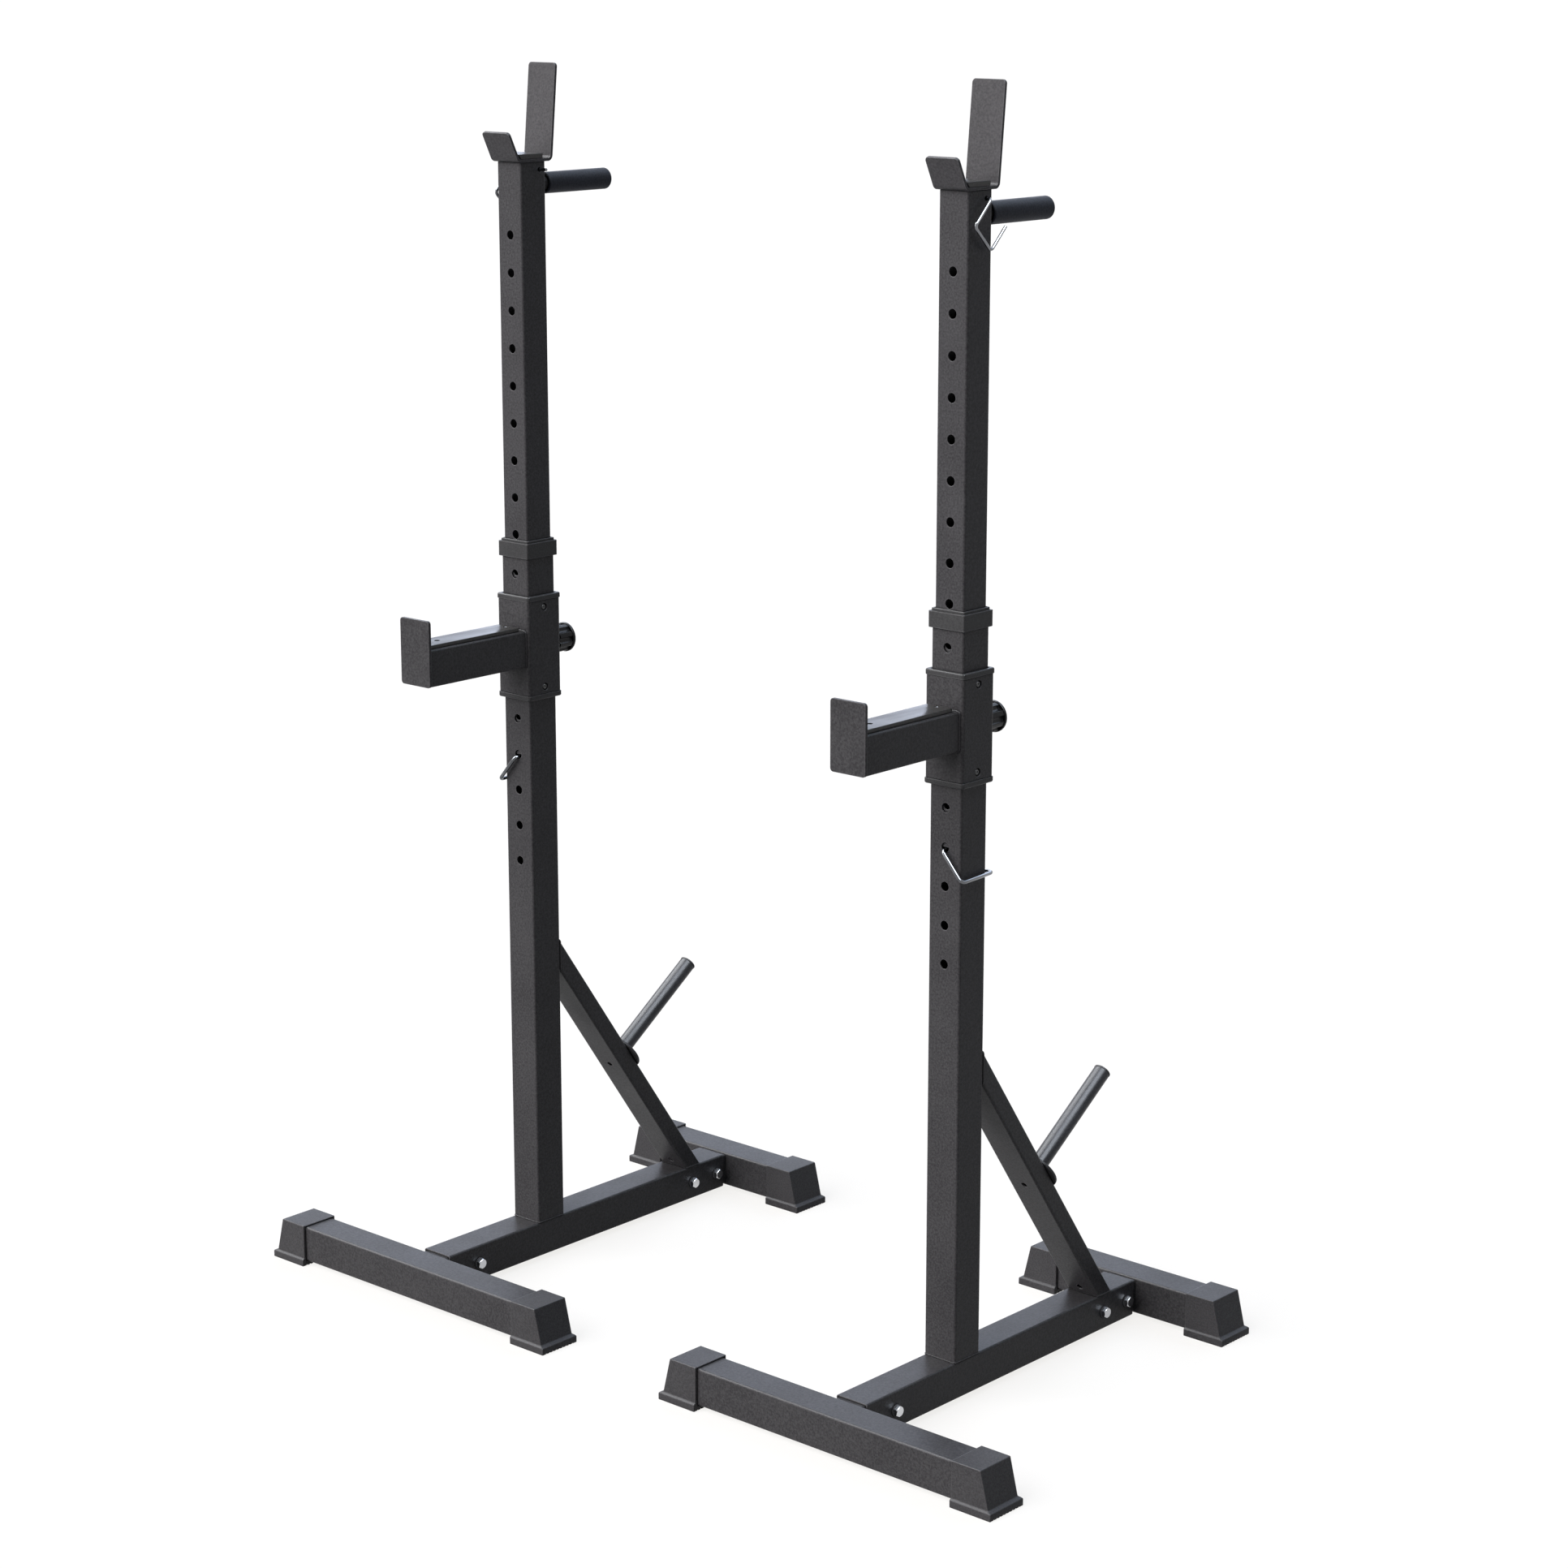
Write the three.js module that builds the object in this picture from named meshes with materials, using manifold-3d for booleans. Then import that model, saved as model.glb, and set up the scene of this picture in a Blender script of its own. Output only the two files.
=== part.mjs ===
// A pair of free-standing squat stands: two telescoping posts on welded bases, each with a bar
// fork on top, a spotter arm on a sliding sleeve and a storage peg on the rear brace.
// X runs along the cross bars, Y from front to rear, Z up, in millimetres.
import * as THREE from "three";
import { mergeVertices } from "three/addons/utils/BufferGeometryUtils.js";
import Module from "manifold-3d";

const wasm = await Module();
wasm.setup();

// Clearances that the whole stand shares
const seatGap = 0.3; // between pieces that touch
const slideGap = 0.3; // each side, between a plastic bush and the tube in it
const telescopeGap = 0.5; // each side, between a tube and the tube around it
const overrun = 4; // how far a cut runs past the face that it opens

// Base: cross bars, beam and feet
const standSpacing = 752; // between the axes of the two posts
const tubeSize = 50;
const tubeWall = 2;
const tubeCorner = 3;
const frontBarLength = 500;
const rearBarLength = 300;
const beamFront = 196.5; // from the post's axis to the beam's front end
const beamRear = 357;
const barGap = 7.5; // from the beam's end to the cross bar
const stubEngagement = 86; // how far a cross bar's stub reaches into the beam
const soleThickness = 7; // floor to the underside of the tubes
const frontBoltInset = 55.5; // from the beam's front end
const rearBoltInset = 15;
const rearBoltPitch = 51;
const boltDiameter = 8;
const boltHeadFlats = 13;
const boltHeadHeight = 5.5;
const boltNutHeight = 6.5;
const boltTail = 3;
const washerDiameter = 16;
const washerThickness = 1.6;

const footTopLength = 44.6;
const footSideWall = 3.7;
const footTopWall = 2.2;
const footEndWall = 2.5;
const footSlope = 12; // how far the end face leans out on its way down
const footEdge = 1.6;
const soleHeight = 9.5;
const soleSide = 3; // how far the sole stands out in front of and behind the foot
const soleEnd = 6;
const soleLedge = 2;
const treadPitch = 6;
const treadWidth = 2.6;
const treadDepth = 2.2;

// Post, its brace and the storage peg
const postTop = 1020;
const holePitch = 50;
const holeDiameter = 12;
const postHoleCount = 9;
const postTopHoleDepth = 39;
const sleeveHoleStep = 2; // the knob's hole, counted down from the post's top one
const lockHoleStep = 5;
const collarWall = 2.9;
const collarSkirt = 16;
const collarCrown = 4.5;
const collarLip = 3.5;
const collarLipInset = 2.7;
const collarCorner = 2;

const braceWidth = 50;
const braceDepth = 25;
const braceWall = 2;
const braceFoot = 277; // from the post's axis to where the brace's lower face lands
const braceLean = THREE.MathUtils.degToRad(35);
const braceHoleDiameter = 9;
const braceFootHole = 12;
const pegStation = 229; // along the brace from its foot to the peg's axis
const pegLength = 176;
const pegDiameter = 23;
const pegWall = 2;
const pegFlangeDiameter = 64;
const pegFlangeThickness = 4;
const pegCapDiameter = 23.6;
const pegCapHead = 2;
const pegCapPlug = 14;
const roundedEdge = 1.2;

// Inner post, fork and handle
const mastWall = 2;
const mastLength = 799;
const mastTopHoleDepth = 95;
const mastEndMargin = 40;
const forkWidth = 50;
const forkThickness = 4;
const forkBend = 4;
const forkCorner = 5;
const forkFrontReach = 29;
const forkFrontLean = THREE.MathUtils.degToRad(25.6);
const forkFrontHeight = 38.5;
const forkRearReach = 33.3;
const forkRearLean = THREE.MathUtils.degToRad(5.3);
const forkRearHeight = 126.5;
const forkStemLength = 40;
const forkStemWall = 2;
const forkPadHeight = 6.5;
const forkPadRear = 16;
const handleDrop = 30; // from the inner post's top to the handle's axis
const neckDiameter = 19;
const gripDiameter = 28.5;
const gripOffset = 17; // from the inner post to the grip's open end
const gripLength = 117;
const gripEndWall = 4;
const gripMouthDiameter = 24;
const gripMouthDepth = 9;

// Wire pins
const forkPinWire = 4;
const forkPinDrop = 10; // from the inner post's top to the pin
const forkPinOffset = 11.5; // behind the post's axis
const forkPinPlay = 0.4; // around the wire in the fork's stem
const forkPinHole = 6.5;
const forkPinStandoff = 7.5; // from the inner post's side to the loop's plane
const forkPinTip = 13; // past the inner post's far side
const forkPinSide = 43.5; // one side of the square loop
const forkPinCutSide = 39;
const lockPinWire = 5;
const lockPinStandoff = 6; // from the post's faces to the wire's middle
const lockPinTip = 11;
const lockPinDrop = 36;
const lockPinRise = 2; // the clip climbs this much on its way to the rear
const lockPinHook = 13;
const wireBend = 6;

// Spotter arm on its sleeve
const sleeveWall = 2.5;
const sleeveCorner = 4;
const sleeveHeight = 143.5;
const bushWall = 1.9;
const bushRimHeight = 7;
const bushRimLip = 1;
const bushInsert = 24;
const bushScrewDiameter = 10.5;
const bushScrewOffset = 55; // from the arm's axis
const armReach = 210; // from the post's axis to the end plate's front
const armPlateThickness = 4.5;
const armPlateWidth = 55;
const armPlateHeight = 89.6;
const armPlateCorner = 4.5;
const armPadWidth = 40;
const armPadThickness = 5;
const armPadInset = 8; // from the sleeve to the pad
const armPadCorner = 2;
const padScrewDiameter = 8;
const armPadScrewInset = 6;
const armPadScrewPitch = 126;
const bossDiameter = 24;
const bossLength = 11;
const plungerDiameter = 8;
const knobStart = 1; // from the boss to the knob
const knobDiameter = 38;
const knobFluteDepth = 3;
const knobFlutes = 8;
const knobLength = 23;
const knobRimDiameter = 40.6;
const knobRimLength = 4.5;

// Sizes that follow
const mastSize = tubeSize - 2 * (tubeWall + telescopeGap);
const stemSize = mastSize - 2 * (mastWall + telescopeGap);
const sleeveSize = tubeSize + 2 * (slideGap + bushWall + seatGap + sleeveWall);
const baseAxis = soleThickness + tubeSize / 2; // height of the cross bars' and beam's middle
const beamTop = soleThickness + tubeSize;
const frontBarY = -(beamFront + barGap + tubeSize / 2);
const rearBarY = beamRear + barGap + tubeSize / 2;
const boltPlaces = [
  { name: "front_bolt", y: frontBoltInset - beamFront },
  { name: "rear_bolt_1", y: beamRear - rearBoltInset - rearBoltPitch },
  { name: "rear_bolt_2", y: beamRear - rearBoltInset },
];
const postTopHole = postTop - postTopHoleDepth;
const armAxis = postTopHole - sleeveHoleStep * holePitch;
const lockPinAxis = postTopHole - lockHoleStep * holePitch - (holeDiameter - lockPinWire) / 2 + seatGap;
const mastBottom = lockPinAxis + lockPinWire / 2 + seatGap;
const mastTop = mastBottom + mastLength;
const footHalfWidth = tubeSize / 2 + seatGap + footSideWall;
const footTopHeight = beamTop + seatGap + footTopWall;
const footTip = seatGap + footEndWall; // from the bar's end to the foot's top outer edge
const pegRadius = pegDiameter / 2;

// Counts and proportions of the facets
const quarterTurn = Math.PI / 2;
const cornerSteps = 1;
const holeSides = 8;
const smallSides = 12;
const roundSides = 20;
const wireSides = 8;
const bendSteps = 3;
const boltSides = 6;
const stepsPerFlute = 4;
const innerCornerShare = 1 / 3; // a tube's inner corner radius against its outer one
const boltChamferShare = 0.96; // the flat top of a bolt head against its width

const xAxis = new THREE.Vector3(1, 0, 0);
const yAxis = new THREE.Vector3(0, 1, 0);
const zAxis = new THREE.Vector3(0, 0, 1);
const halfTurnDegrees = 180;

// An outline's own x and y become the two axes named, and it is extruded along the third
const facing = {
  x: new THREE.Matrix4().makeBasis(yAxis, zAxis, xAxis),
  y: new THREE.Matrix4().makeBasis(xAxis, zAxis, yAxis.clone().negate()),
  z: new THREE.Matrix4(),
};

// Materials, one for each finish
function paintedSteel() {
  return new THREE.MeshStandardMaterial({ color: 0x37373c, roughness: 0.55, metalness: 0.25 });
}

function moldedPlastic() {
  return new THREE.MeshStandardMaterial({ color: 0x2d2d31, roughness: 0.6, metalness: 0 });
}

function glossPlastic() {
  return new THREE.MeshStandardMaterial({ color: 0x0d0d10, roughness: 0.22, metalness: 0 });
}

function padRubber() {
  return new THREE.MeshStandardMaterial({ color: 0x222226, roughness: 0.5, metalness: 0 });
}

function zincSteel() {
  return new THREE.MeshStandardMaterial({ color: 0xd9dade, roughness: 0.25, metalness: 1 });
}

// Turns a closed geometry into a solid that can be joined and cut
function solidOf(geometry) {
  const bare = geometry.clone();
  bare.deleteAttribute("normal");
  bare.deleteAttribute("uv");
  const merged = mergeVertices(bare);
  const mesh = new wasm.Mesh({
    numProp: 3,
    vertProperties: merged.attributes.position.array,
    triVerts: new Uint32Array(merged.index.array),
  });
  return new wasm.Manifold(mesh);
}

function joined(solids) {
  return solids.reduce((whole, solid) => whole.add(solid));
}

function cut(solid, tools) {
  return tools.reduce((left, tool) => left.subtract(tool), solid);
}

// Gives a solid back as a named mesh with flat facets
function piece(name, solid, material) {
  const source = solid.getMesh();
  const geometry = new THREE.BufferGeometry();
  geometry.setAttribute("position", new THREE.BufferAttribute(source.vertProperties, source.numProp));
  geometry.setIndex(new THREE.BufferAttribute(source.triVerts, 1));
  const faceted = geometry.toNonIndexed();
  faceted.computeVertexNormals();
  const mesh = new THREE.Mesh(faceted, material);
  mesh.name = name;
  return mesh;
}

function placed(object, x, y, z) {
  object.position.set(x, y, z);
  return object;
}

function groupOf(objects) {
  return new THREE.Group().add(...objects);
}

// A rectangle with round corners, centred
function roundedOutline(width, height, radius) {
  const x = width / 2 - radius;
  const y = height / 2 - radius;
  const outline = new THREE.Shape();
  outline.absarc(x, y, radius, 0, quarterTurn, false);
  outline.absarc(-x, y, radius, quarterTurn, 2 * quarterTurn, false);
  outline.absarc(-x, -y, radius, 2 * quarterTurn, 3 * quarterTurn, false);
  outline.absarc(x, -y, radius, 3 * quarterTurn, 4 * quarterTurn, false);
  outline.closePath();
  return outline;
}

// A closed outline through corners, rounded where a corner has a radius
function roundedPolygon(corners) {
  const outline = new THREE.Shape();
  corners.forEach(({ at, radius = 0 }, index) => {
    const corner = new THREE.Vector2(...at);
    const before = new THREE.Vector2(...corners.at(index - 1).at);
    const after = new THREE.Vector2(...corners[(index + 1) % corners.length].at);
    const start = corner.clone().add(before.sub(corner).setLength(radius));
    const end = corner.clone().add(after.sub(corner).setLength(radius));
    if (index === 0) outline.moveTo(start.x, start.y);
    else outline.lineTo(start.x, start.y);
    if (radius > 0) outline.quadraticCurveTo(corner.x, corner.y, end.x, end.y);
  });
  outline.closePath();
  return outline;
}

function extruded(outline, axis, length, steps = cornerSteps) {
  const settings = { depth: length, bevelEnabled: false, curveSegments: steps };
  const geometry = new THREE.ExtrudeGeometry(outline, settings);
  return solidOf(geometry.translate(0, 0, -length / 2).applyMatrix4(facing[axis]));
}

// A block with round vertical corners whose upper and lower edges are rounded too
function softBlock(width, height, thickness, corner, edge) {
  const settings = {
    depth: thickness - 2 * edge,
    bevelThickness: edge,
    bevelSize: edge,
    bevelSegments: 1,
    curveSegments: cornerSteps,
  };
  const outline = roundedOutline(width - 2 * edge, height - 2 * edge, corner - edge);
  const geometry = new THREE.ExtrudeGeometry(outline, settings);
  return solidOf(geometry.translate(0, 0, edge - thickness / 2));
}

function rectangularTube(axis, length, width, height, wall, corner) {
  const outline = roundedOutline(width, height, corner);
  outline.holes.push(roundedOutline(width - 2 * wall, height - 2 * wall, corner * innerCornerShare));
  return extruded(outline, axis, length);
}

function squareTube(axis, length, size, wall, corner) {
  return rectangularTube(axis, length, size, size, wall, corner);
}

function block(width, depth, height) {
  return solidOf(new THREE.BoxGeometry(width, depth, height));
}

function roundBar(axis, diameter, length, sides = roundSides) {
  const geometry = new THREE.CylinderGeometry(diameter / 2, diameter / 2, length, sides);
  if (axis === "x") geometry.rotateZ(-quarterTurn);
  if (axis === "z") geometry.rotateX(quarterTurn);
  return solidOf(geometry);
}

// A body of revolution about Y from [radius, y] pairs that start and end on the axis
function turned(profile, sides = roundSides) {
  const points = profile.map(([radius, y]) => new THREE.Vector2(radius, y));
  return solidOf(new THREE.LatheGeometry(points, sides));
}

// Adjustment holes through the front and rear walls of a post, from the top one down
function adjustmentHoles(topHole, count, size) {
  const depth = size + 2 * overrun;
  return Array.from({ length: count }, (_, step) =>
    roundBar("y", holeDiameter, depth, holeSides).translate(0, 0, topHole - step * holePitch),
  );
}

function boltHoles(offset) {
  const depth = tubeSize + 2 * overrun;
  return boltPlaces.map(({ y }) =>
    roundBar("x", boltDiameter + 2 * seatGap, depth, holeSides).translate(0, y - offset, 0),
  );
}

// A cross bar with the stub that its beam slides over; toBeam is 1 where the beam lies behind it
function crossBar(name, length, barY, toBeam) {
  const bar = squareTube("x", length, tubeSize, tubeWall, tubeCorner);
  const stubSize = tubeSize - 2 * (tubeWall + telescopeGap);
  const stubLength = barGap + stubEngagement + tubeWall / 2;
  const stubMiddle = tubeSize / 2 - tubeWall / 2 + stubLength / 2;
  const stub = squareTube("y", stubLength, stubSize, tubeWall, tubeCorner);
  const drilled = cut(stub.translate(0, toBeam * stubMiddle, 0), boltHoles(barY));
  return placed(piece(name, joined([bar, drilled]), paintedSteel()), 0, barY, baseAxis);
}

function baseBeam(name) {
  const length = beamFront + beamRear;
  const middle = (beamRear - beamFront) / 2;
  const tube = squareTube("y", length, tubeSize, tubeWall, tubeCorner);
  return placed(piece(name, cut(tube, boltHoles(middle)), paintedSteel()), 0, middle, baseAxis);
}

// A hexagon bolt through the beam, with its washers and nut
function beamBolt(name, y) {
  const face = tubeSize / 2 + seatGap;
  const hexagonRadius = boltHeadFlats / (2 * Math.cos(Math.PI / boltSides));
  const hexagon = (height) =>
    solidOf(new THREE.CylinderGeometry(hexagonRadius, hexagonRadius, height, boltSides));
  const chamferProfile = [
    [0, 0],
    [hexagonRadius, 0],
    [hexagonRadius, boltHeadHeight - (hexagonRadius - boltHeadFlats / 2)],
    [(boltHeadFlats / 2) * boltChamferShare, boltHeadHeight],
    [0, boltHeadHeight],
  ];
  const headSeat = face + washerThickness;
  const blank = hexagon(boltHeadHeight).translate(0, boltHeadHeight / 2, 0);
  const head = blank.intersect(turned(chamferProfile, smallSides));
  const nutMiddle = headSeat + boltNutHeight / 2;
  const tip = headSeat + boltNutHeight + boltTail;
  const shankLength = tip + headSeat + boltHeadHeight / 2;
  const shankMiddle = headSeat + boltHeadHeight / 2 - shankLength / 2;
  const washer = roundBar("y", washerDiameter, washerThickness, smallSides);
  const bolt = joined([
    head.translate(0, headSeat, 0),
    washer.translate(0, face + washerThickness / 2, 0),
    roundBar("y", boltDiameter, shankLength, holeSides).translate(0, shankMiddle, 0),
    washer.translate(0, -face - washerThickness / 2, 0),
    hexagon(boltNutHeight).translate(0, -nutMiddle, 0),
  ]);
  const mesh = piece(name, bolt, zincSteel());
  mesh.rotation.z = -quarterTurn;
  return placed(mesh, 0, y, baseAxis);
}

// A moulded cap on a cross bar's end, with a treaded sole; its origin is at the bar's end, on the floor
function barFoot(name, x, y, outward) {
  const inner = footTip - footTopLength;
  const outer = footTip + footSlope;
  const soleTop = soleHeight + soleLedge;
  const side = roundedPolygon([
    { at: [inner, 0] },
    { at: [outer, 0] },
    { at: [outer, soleTop] },
    { at: [footTip, footTopHeight], radius: footEdge },
    { at: [inner, footTopHeight] },
  ]);
  const section = roundedPolygon([
    { at: [-footHalfWidth, 0] },
    { at: [footHalfWidth, 0] },
    { at: [footHalfWidth, footTopHeight], radius: footEdge },
    { at: [-footHalfWidth, footTopHeight], radius: footEdge },
  ]);
  const reach = 2 * (footTopLength + footSlope);
  const shell = extruded(side, "y", 2 * footHalfWidth).intersect(extruded(section, "x", reach));

  const soleLength = outer + soleEnd - inner;
  const sole = block(soleLength, 2 * (footHalfWidth + soleSide), soleHeight);
  const ledge = ledgeAround(outer - inner, 2 * footHalfWidth);
  const bodyMiddle = (outer + inner) / 2;
  const solid = joined([
    shell,
    sole.translate(inner + soleLength / 2, 0, soleHeight / 2),
    ledge.translate(bodyMiddle, 0, soleTop),
  ]);

  const pocketLength = footTopLength + overrun;
  const pocketSize = tubeSize + 2 * seatGap;
  const pocket = extruded(roundedOutline(pocketSize, pocketSize, tubeCorner), "x", pocketLength);
  const behind = block(reach, reach, 2 * reach).translate(inner - reach / 2, 0, 0);
  const tools = [pocket.translate(seatGap - pocketLength / 2, 0, baseAxis), behind, ...treadGrooves(reach)];
  const mesh = piece(name, cut(solid, tools), moldedPlastic());
  mesh.rotation.z = outward > 0 ? 0 : Math.PI;
  return placed(mesh, x, y, 0);
}

// The sloped ledge between a foot and its sole, with its upper face at the origin
function ledgeAround(length, width) {
  const settings = {
    depth: soleLedge,
    bevelThickness: soleLedge,
    bevelSize: soleSide,
    bevelSegments: 1,
    curveSegments: cornerSteps,
  };
  const outline = roundedPolygon([
    { at: [-length / 2, -width / 2] },
    { at: [length / 2, -width / 2] },
    { at: [length / 2, width / 2] },
    { at: [-length / 2, width / 2] },
  ]);
  const geometry = new THREE.ExtrudeGeometry(outline, settings);
  return solidOf(geometry.translate(0, 0, -2 * soleLedge));
}

function treadGrooves(length) {
  const width = 2 * (footHalfWidth + soleSide);
  const count = Math.floor(width / treadPitch) - 1;
  const first = (-(count - 1) * treadPitch) / 2;
  return Array.from({ length: count }, (_, index) =>
    block(2 * length, treadWidth, 2 * treadDepth).translate(0, first + index * treadPitch, 0),
  );
}

function crossBarFeet(prefix, barName, barLength, barY) {
  const half = barLength / 2;
  return [
    barFoot(prefix + barName + "_foot_left", -half, barY, -1),
    barFoot(prefix + barName + "_foot_right", half, barY, 1),
  ];
}

function outerPost(name) {
  const bottom = beamTop + seatGap;
  const length = postTop - bottom;
  const tube = squareTube("z", length, tubeSize, tubeWall, tubeCorner).translate(0, 0, length / 2);
  const holes = adjustmentHoles(postTopHole - bottom, postHoleCount, tubeSize);
  return placed(piece(name, cut(tube, holes), paintedSteel()), 0, 0, bottom);
}

// The plastic collar that guides the inner post; its origin is at the outer post's top
function postCollar(name) {
  const innerSize = tubeSize + 2 * seatGap;
  const outerSize = innerSize + 2 * collarWall;
  const bandHeight = collarSkirt + collarCrown;
  const band = softBlock(outerSize, outerSize, bandHeight, collarCorner, roundedEdge);
  const lipSize = outerSize - 2 * collarLipInset;
  const lipHeight = collarLip + collarCrown / 2;
  const lip = softBlock(lipSize, lipSize, lipHeight, collarCorner, roundedEdge);
  const solid = joined([
    band.translate(0, 0, (collarCrown - collarSkirt) / 2),
    lip.translate(0, 0, collarCrown + collarLip - lipHeight / 2),
  ]);
  const pocket = extruded(roundedOutline(innerSize, innerSize, tubeCorner), "z", collarSkirt + overrun);
  const mastSpace = mastSize + 2 * slideGap;
  const opening = extruded(roundedOutline(mastSpace, mastSpace, tubeCorner), "z", 4 * bandHeight);
  const tools = [pocket.translate(0, 0, seatGap - (collarSkirt + overrun) / 2), opening];
  return placed(piece(name, cut(solid, tools), moldedPlastic()), 0, 0, postTop);
}

// The slanted tube behind the post, mitred to the post and to the beam; its origin is at its foot
function rearBrace(name) {
  const rise = (braceFoot - tubeSize / 2) / Math.sin(braceLean);
  const reach = 2 * rise;
  const bar = rectangularTube("z", reach, braceWidth, braceDepth, braceWall, tubeCorner);
  const through = braceDepth + 2 * overrun;
  const pegHole = roundBar("y", braceHoleDiameter, through, holeSides);
  const footHole = roundBar("y", braceHoleDiameter, braceDepth, holeSides);
  const drilled = cut(bar.translate(0, braceDepth / 2, rise / 2), [
    pegHole.translate(0, braceDepth / 2, pegStation),
    footHole.translate(0, 0, braceFootHole),
  ]);
  const leant = drilled.rotate([THREE.MathUtils.radToDeg(braceLean), 0, 0]);
  const postFace = tubeSize / 2 + seatGap - braceFoot;
  const room = block(2 * braceWidth, reach, reach).translate(0, postFace + reach / 2, seatGap + reach / 2);
  return placed(piece(name, leant.intersect(room), paintedSteel()), 0, braceFoot, beamTop);
}

// The storage peg stands square on the brace: tube, flange at its root and cap on its end
function storagePeg(prefix) {
  const start = braceDepth + seatGap;
  const end = braceDepth + pegLength;
  const tubeEnd = end - pegCapHead - seatGap;
  const tubeLength = tubeEnd - start;
  const bore = pegRadius - pegWall;
  const tube = cut(roundBar("y", pegDiameter, tubeLength), [
    roundBar("y", 2 * bore, tubeLength + 2 * overrun),
  ]);
  const flangeRadius = pegFlangeDiameter / 2;
  const flangeTop = start + pegFlangeThickness;
  const disc = turned([
    [0, start],
    [flangeRadius - roundedEdge, start],
    [flangeRadius, start + roundedEdge],
    [flangeRadius, flangeTop - roundedEdge],
    [flangeRadius - roundedEdge, flangeTop],
    [0, flangeTop],
  ]);
  const flangeBore = roundBar("y", 2 * (pegRadius + seatGap), 4 * pegFlangeThickness);
  const capRadius = pegCapDiameter / 2;
  const plugRadius = bore - seatGap;
  const cap = turned([
    [0, tubeEnd - pegCapPlug],
    [plugRadius - roundedEdge, tubeEnd - pegCapPlug],
    [plugRadius, tubeEnd - pegCapPlug + roundedEdge],
    [plugRadius, end - pegCapHead],
    [capRadius, end - pegCapHead],
    [capRadius, end - roundedEdge],
    [capRadius - roundedEdge, end],
    [0, end],
  ]);
  const peg = groupOf([
    piece(prefix + "plate_peg", tube.translate(0, start + tubeLength / 2, 0), paintedSteel()),
    piece(prefix + "peg_flange", cut(disc, [flangeBore.translate(0, flangeTop, 0)]), moldedPlastic()),
    piece(prefix + "peg_cap", cap, moldedPlastic()),
  ]);
  peg.rotation.x = braceLean;
  const along = new THREE.Vector3(0, 0, pegStation).applyAxisAngle(xAxis, braceLean);
  return placed(peg, 0, braceFoot + along.y, beamTop + along.z);
}

// The inner post, with its origin at its top end
function innerPost(name) {
  const tube = squareTube("z", mastLength, mastSize, mastWall, tubeCorner);
  const drilledLength = mastLength - mastTopHoleDepth - mastEndMargin;
  const count = Math.floor(drilledLength / holePitch) + 1;
  const pinHole = roundBar("x", forkPinHole, mastSize + 2 * overrun, holeSides);
  const tools = [
    ...adjustmentHoles(-mastTopHoleDepth, count, mastSize),
    pinHole.translate(0, forkPinOffset, -forkPinDrop),
  ];
  return piece(name, cut(tube.translate(0, 0, -mastLength / 2), tools), paintedSteel());
}

// One half of the fork: a flat run out from the middle, a bend, and a leg that leans out
function forkLeg(reach, lean, height) {
  const turn = quarterTurn - lean;
  const outerBend = forkBend + forkThickness;
  const bendStart = reach - outerBend * Math.tan(turn / 2);
  const rise = height - outerBend * (1 - Math.cos(turn));
  const tipX = bendStart + outerBend * Math.sin(turn) + rise * Math.tan(lean);
  const outline = new THREE.Shape();
  outline.moveTo(-forkThickness, 0);
  outline.absarc(bendStart, outerBend, outerBend, -quarterTurn, turn - quarterTurn, false);
  outline.lineTo(tipX, height);
  outline.lineTo(tipX - forkThickness * Math.cos(lean), height + forkThickness * Math.sin(lean));
  outline.absarc(bendStart, outerBend, forkBend, turn - quarterTurn, -quarterTurn, true);
  outline.lineTo(-forkThickness, forkThickness);
  outline.closePath();
  const leg = extruded(outline, "x", forkWidth, bendSteps);
  const front = roundedOutline(forkWidth, 2 * height + forkThickness, forkCorner);
  return leg.intersect(extruded(front, "y", 4 * reach, 2));
}

// The bent bar that holds the barbell, on a stem that slides into the inner post
function barFork(name) {
  const rear = forkLeg(forkRearReach, forkRearLean, forkRearHeight);
  const front = forkLeg(forkFrontReach, forkFrontLean, forkFrontHeight).rotate([0, 0, halfTurnDegrees]);
  const stemLength = forkStemLength + forkThickness / 2;
  const stem = squareTube("z", stemLength, stemSize, forkStemWall, tubeCorner);
  const solid = joined([rear, front, stem.translate(0, 0, forkThickness / 2 - stemLength / 2)]);
  const pinHole = roundBar("x", forkPinWire + 2 * forkPinPlay, stemSize + 2 * overrun, holeSides);
  const tools = [pinHole.translate(0, forkPinOffset, -forkPinDrop - seatGap)];
  return placed(piece(name, cut(solid, tools), paintedSteel()), 0, 0, seatGap);
}

// The wear pad on the fork's floor, its front end sloped along the leg
function forkPad(name) {
  const turn = quarterTurn - forkFrontLean;
  const bottom = forkThickness + seatGap;
  const top = bottom + forkPadHeight;
  const frontBottom = forkFrontReach - (forkBend + forkThickness) * Math.tan(turn / 2) - seatGap;
  const legFace = forkFrontReach + top * Math.tan(forkFrontLean) - forkThickness / Math.cos(forkFrontLean);
  const frontTop = legFace - 2 * seatGap;
  const outline = roundedPolygon([
    { at: [-frontBottom, bottom] },
    { at: [forkPadRear, bottom] },
    { at: [forkPadRear, top], radius: roundedEdge },
    { at: [-frontTop, top], radius: roundedEdge },
  ]);
  const pad = extruded(outline, "x", forkWidth);
  const screwHole = roundBar("z", padScrewDiameter, forkPadHeight, holeSides);
  const holeY = forkPadRear - padScrewDiameter;
  const tools = [screwHole.translate(0, holeY, top)];
  return placed(piece(name, cut(pad, tools), padRubber()), 0, 0, seatGap);
}

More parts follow.
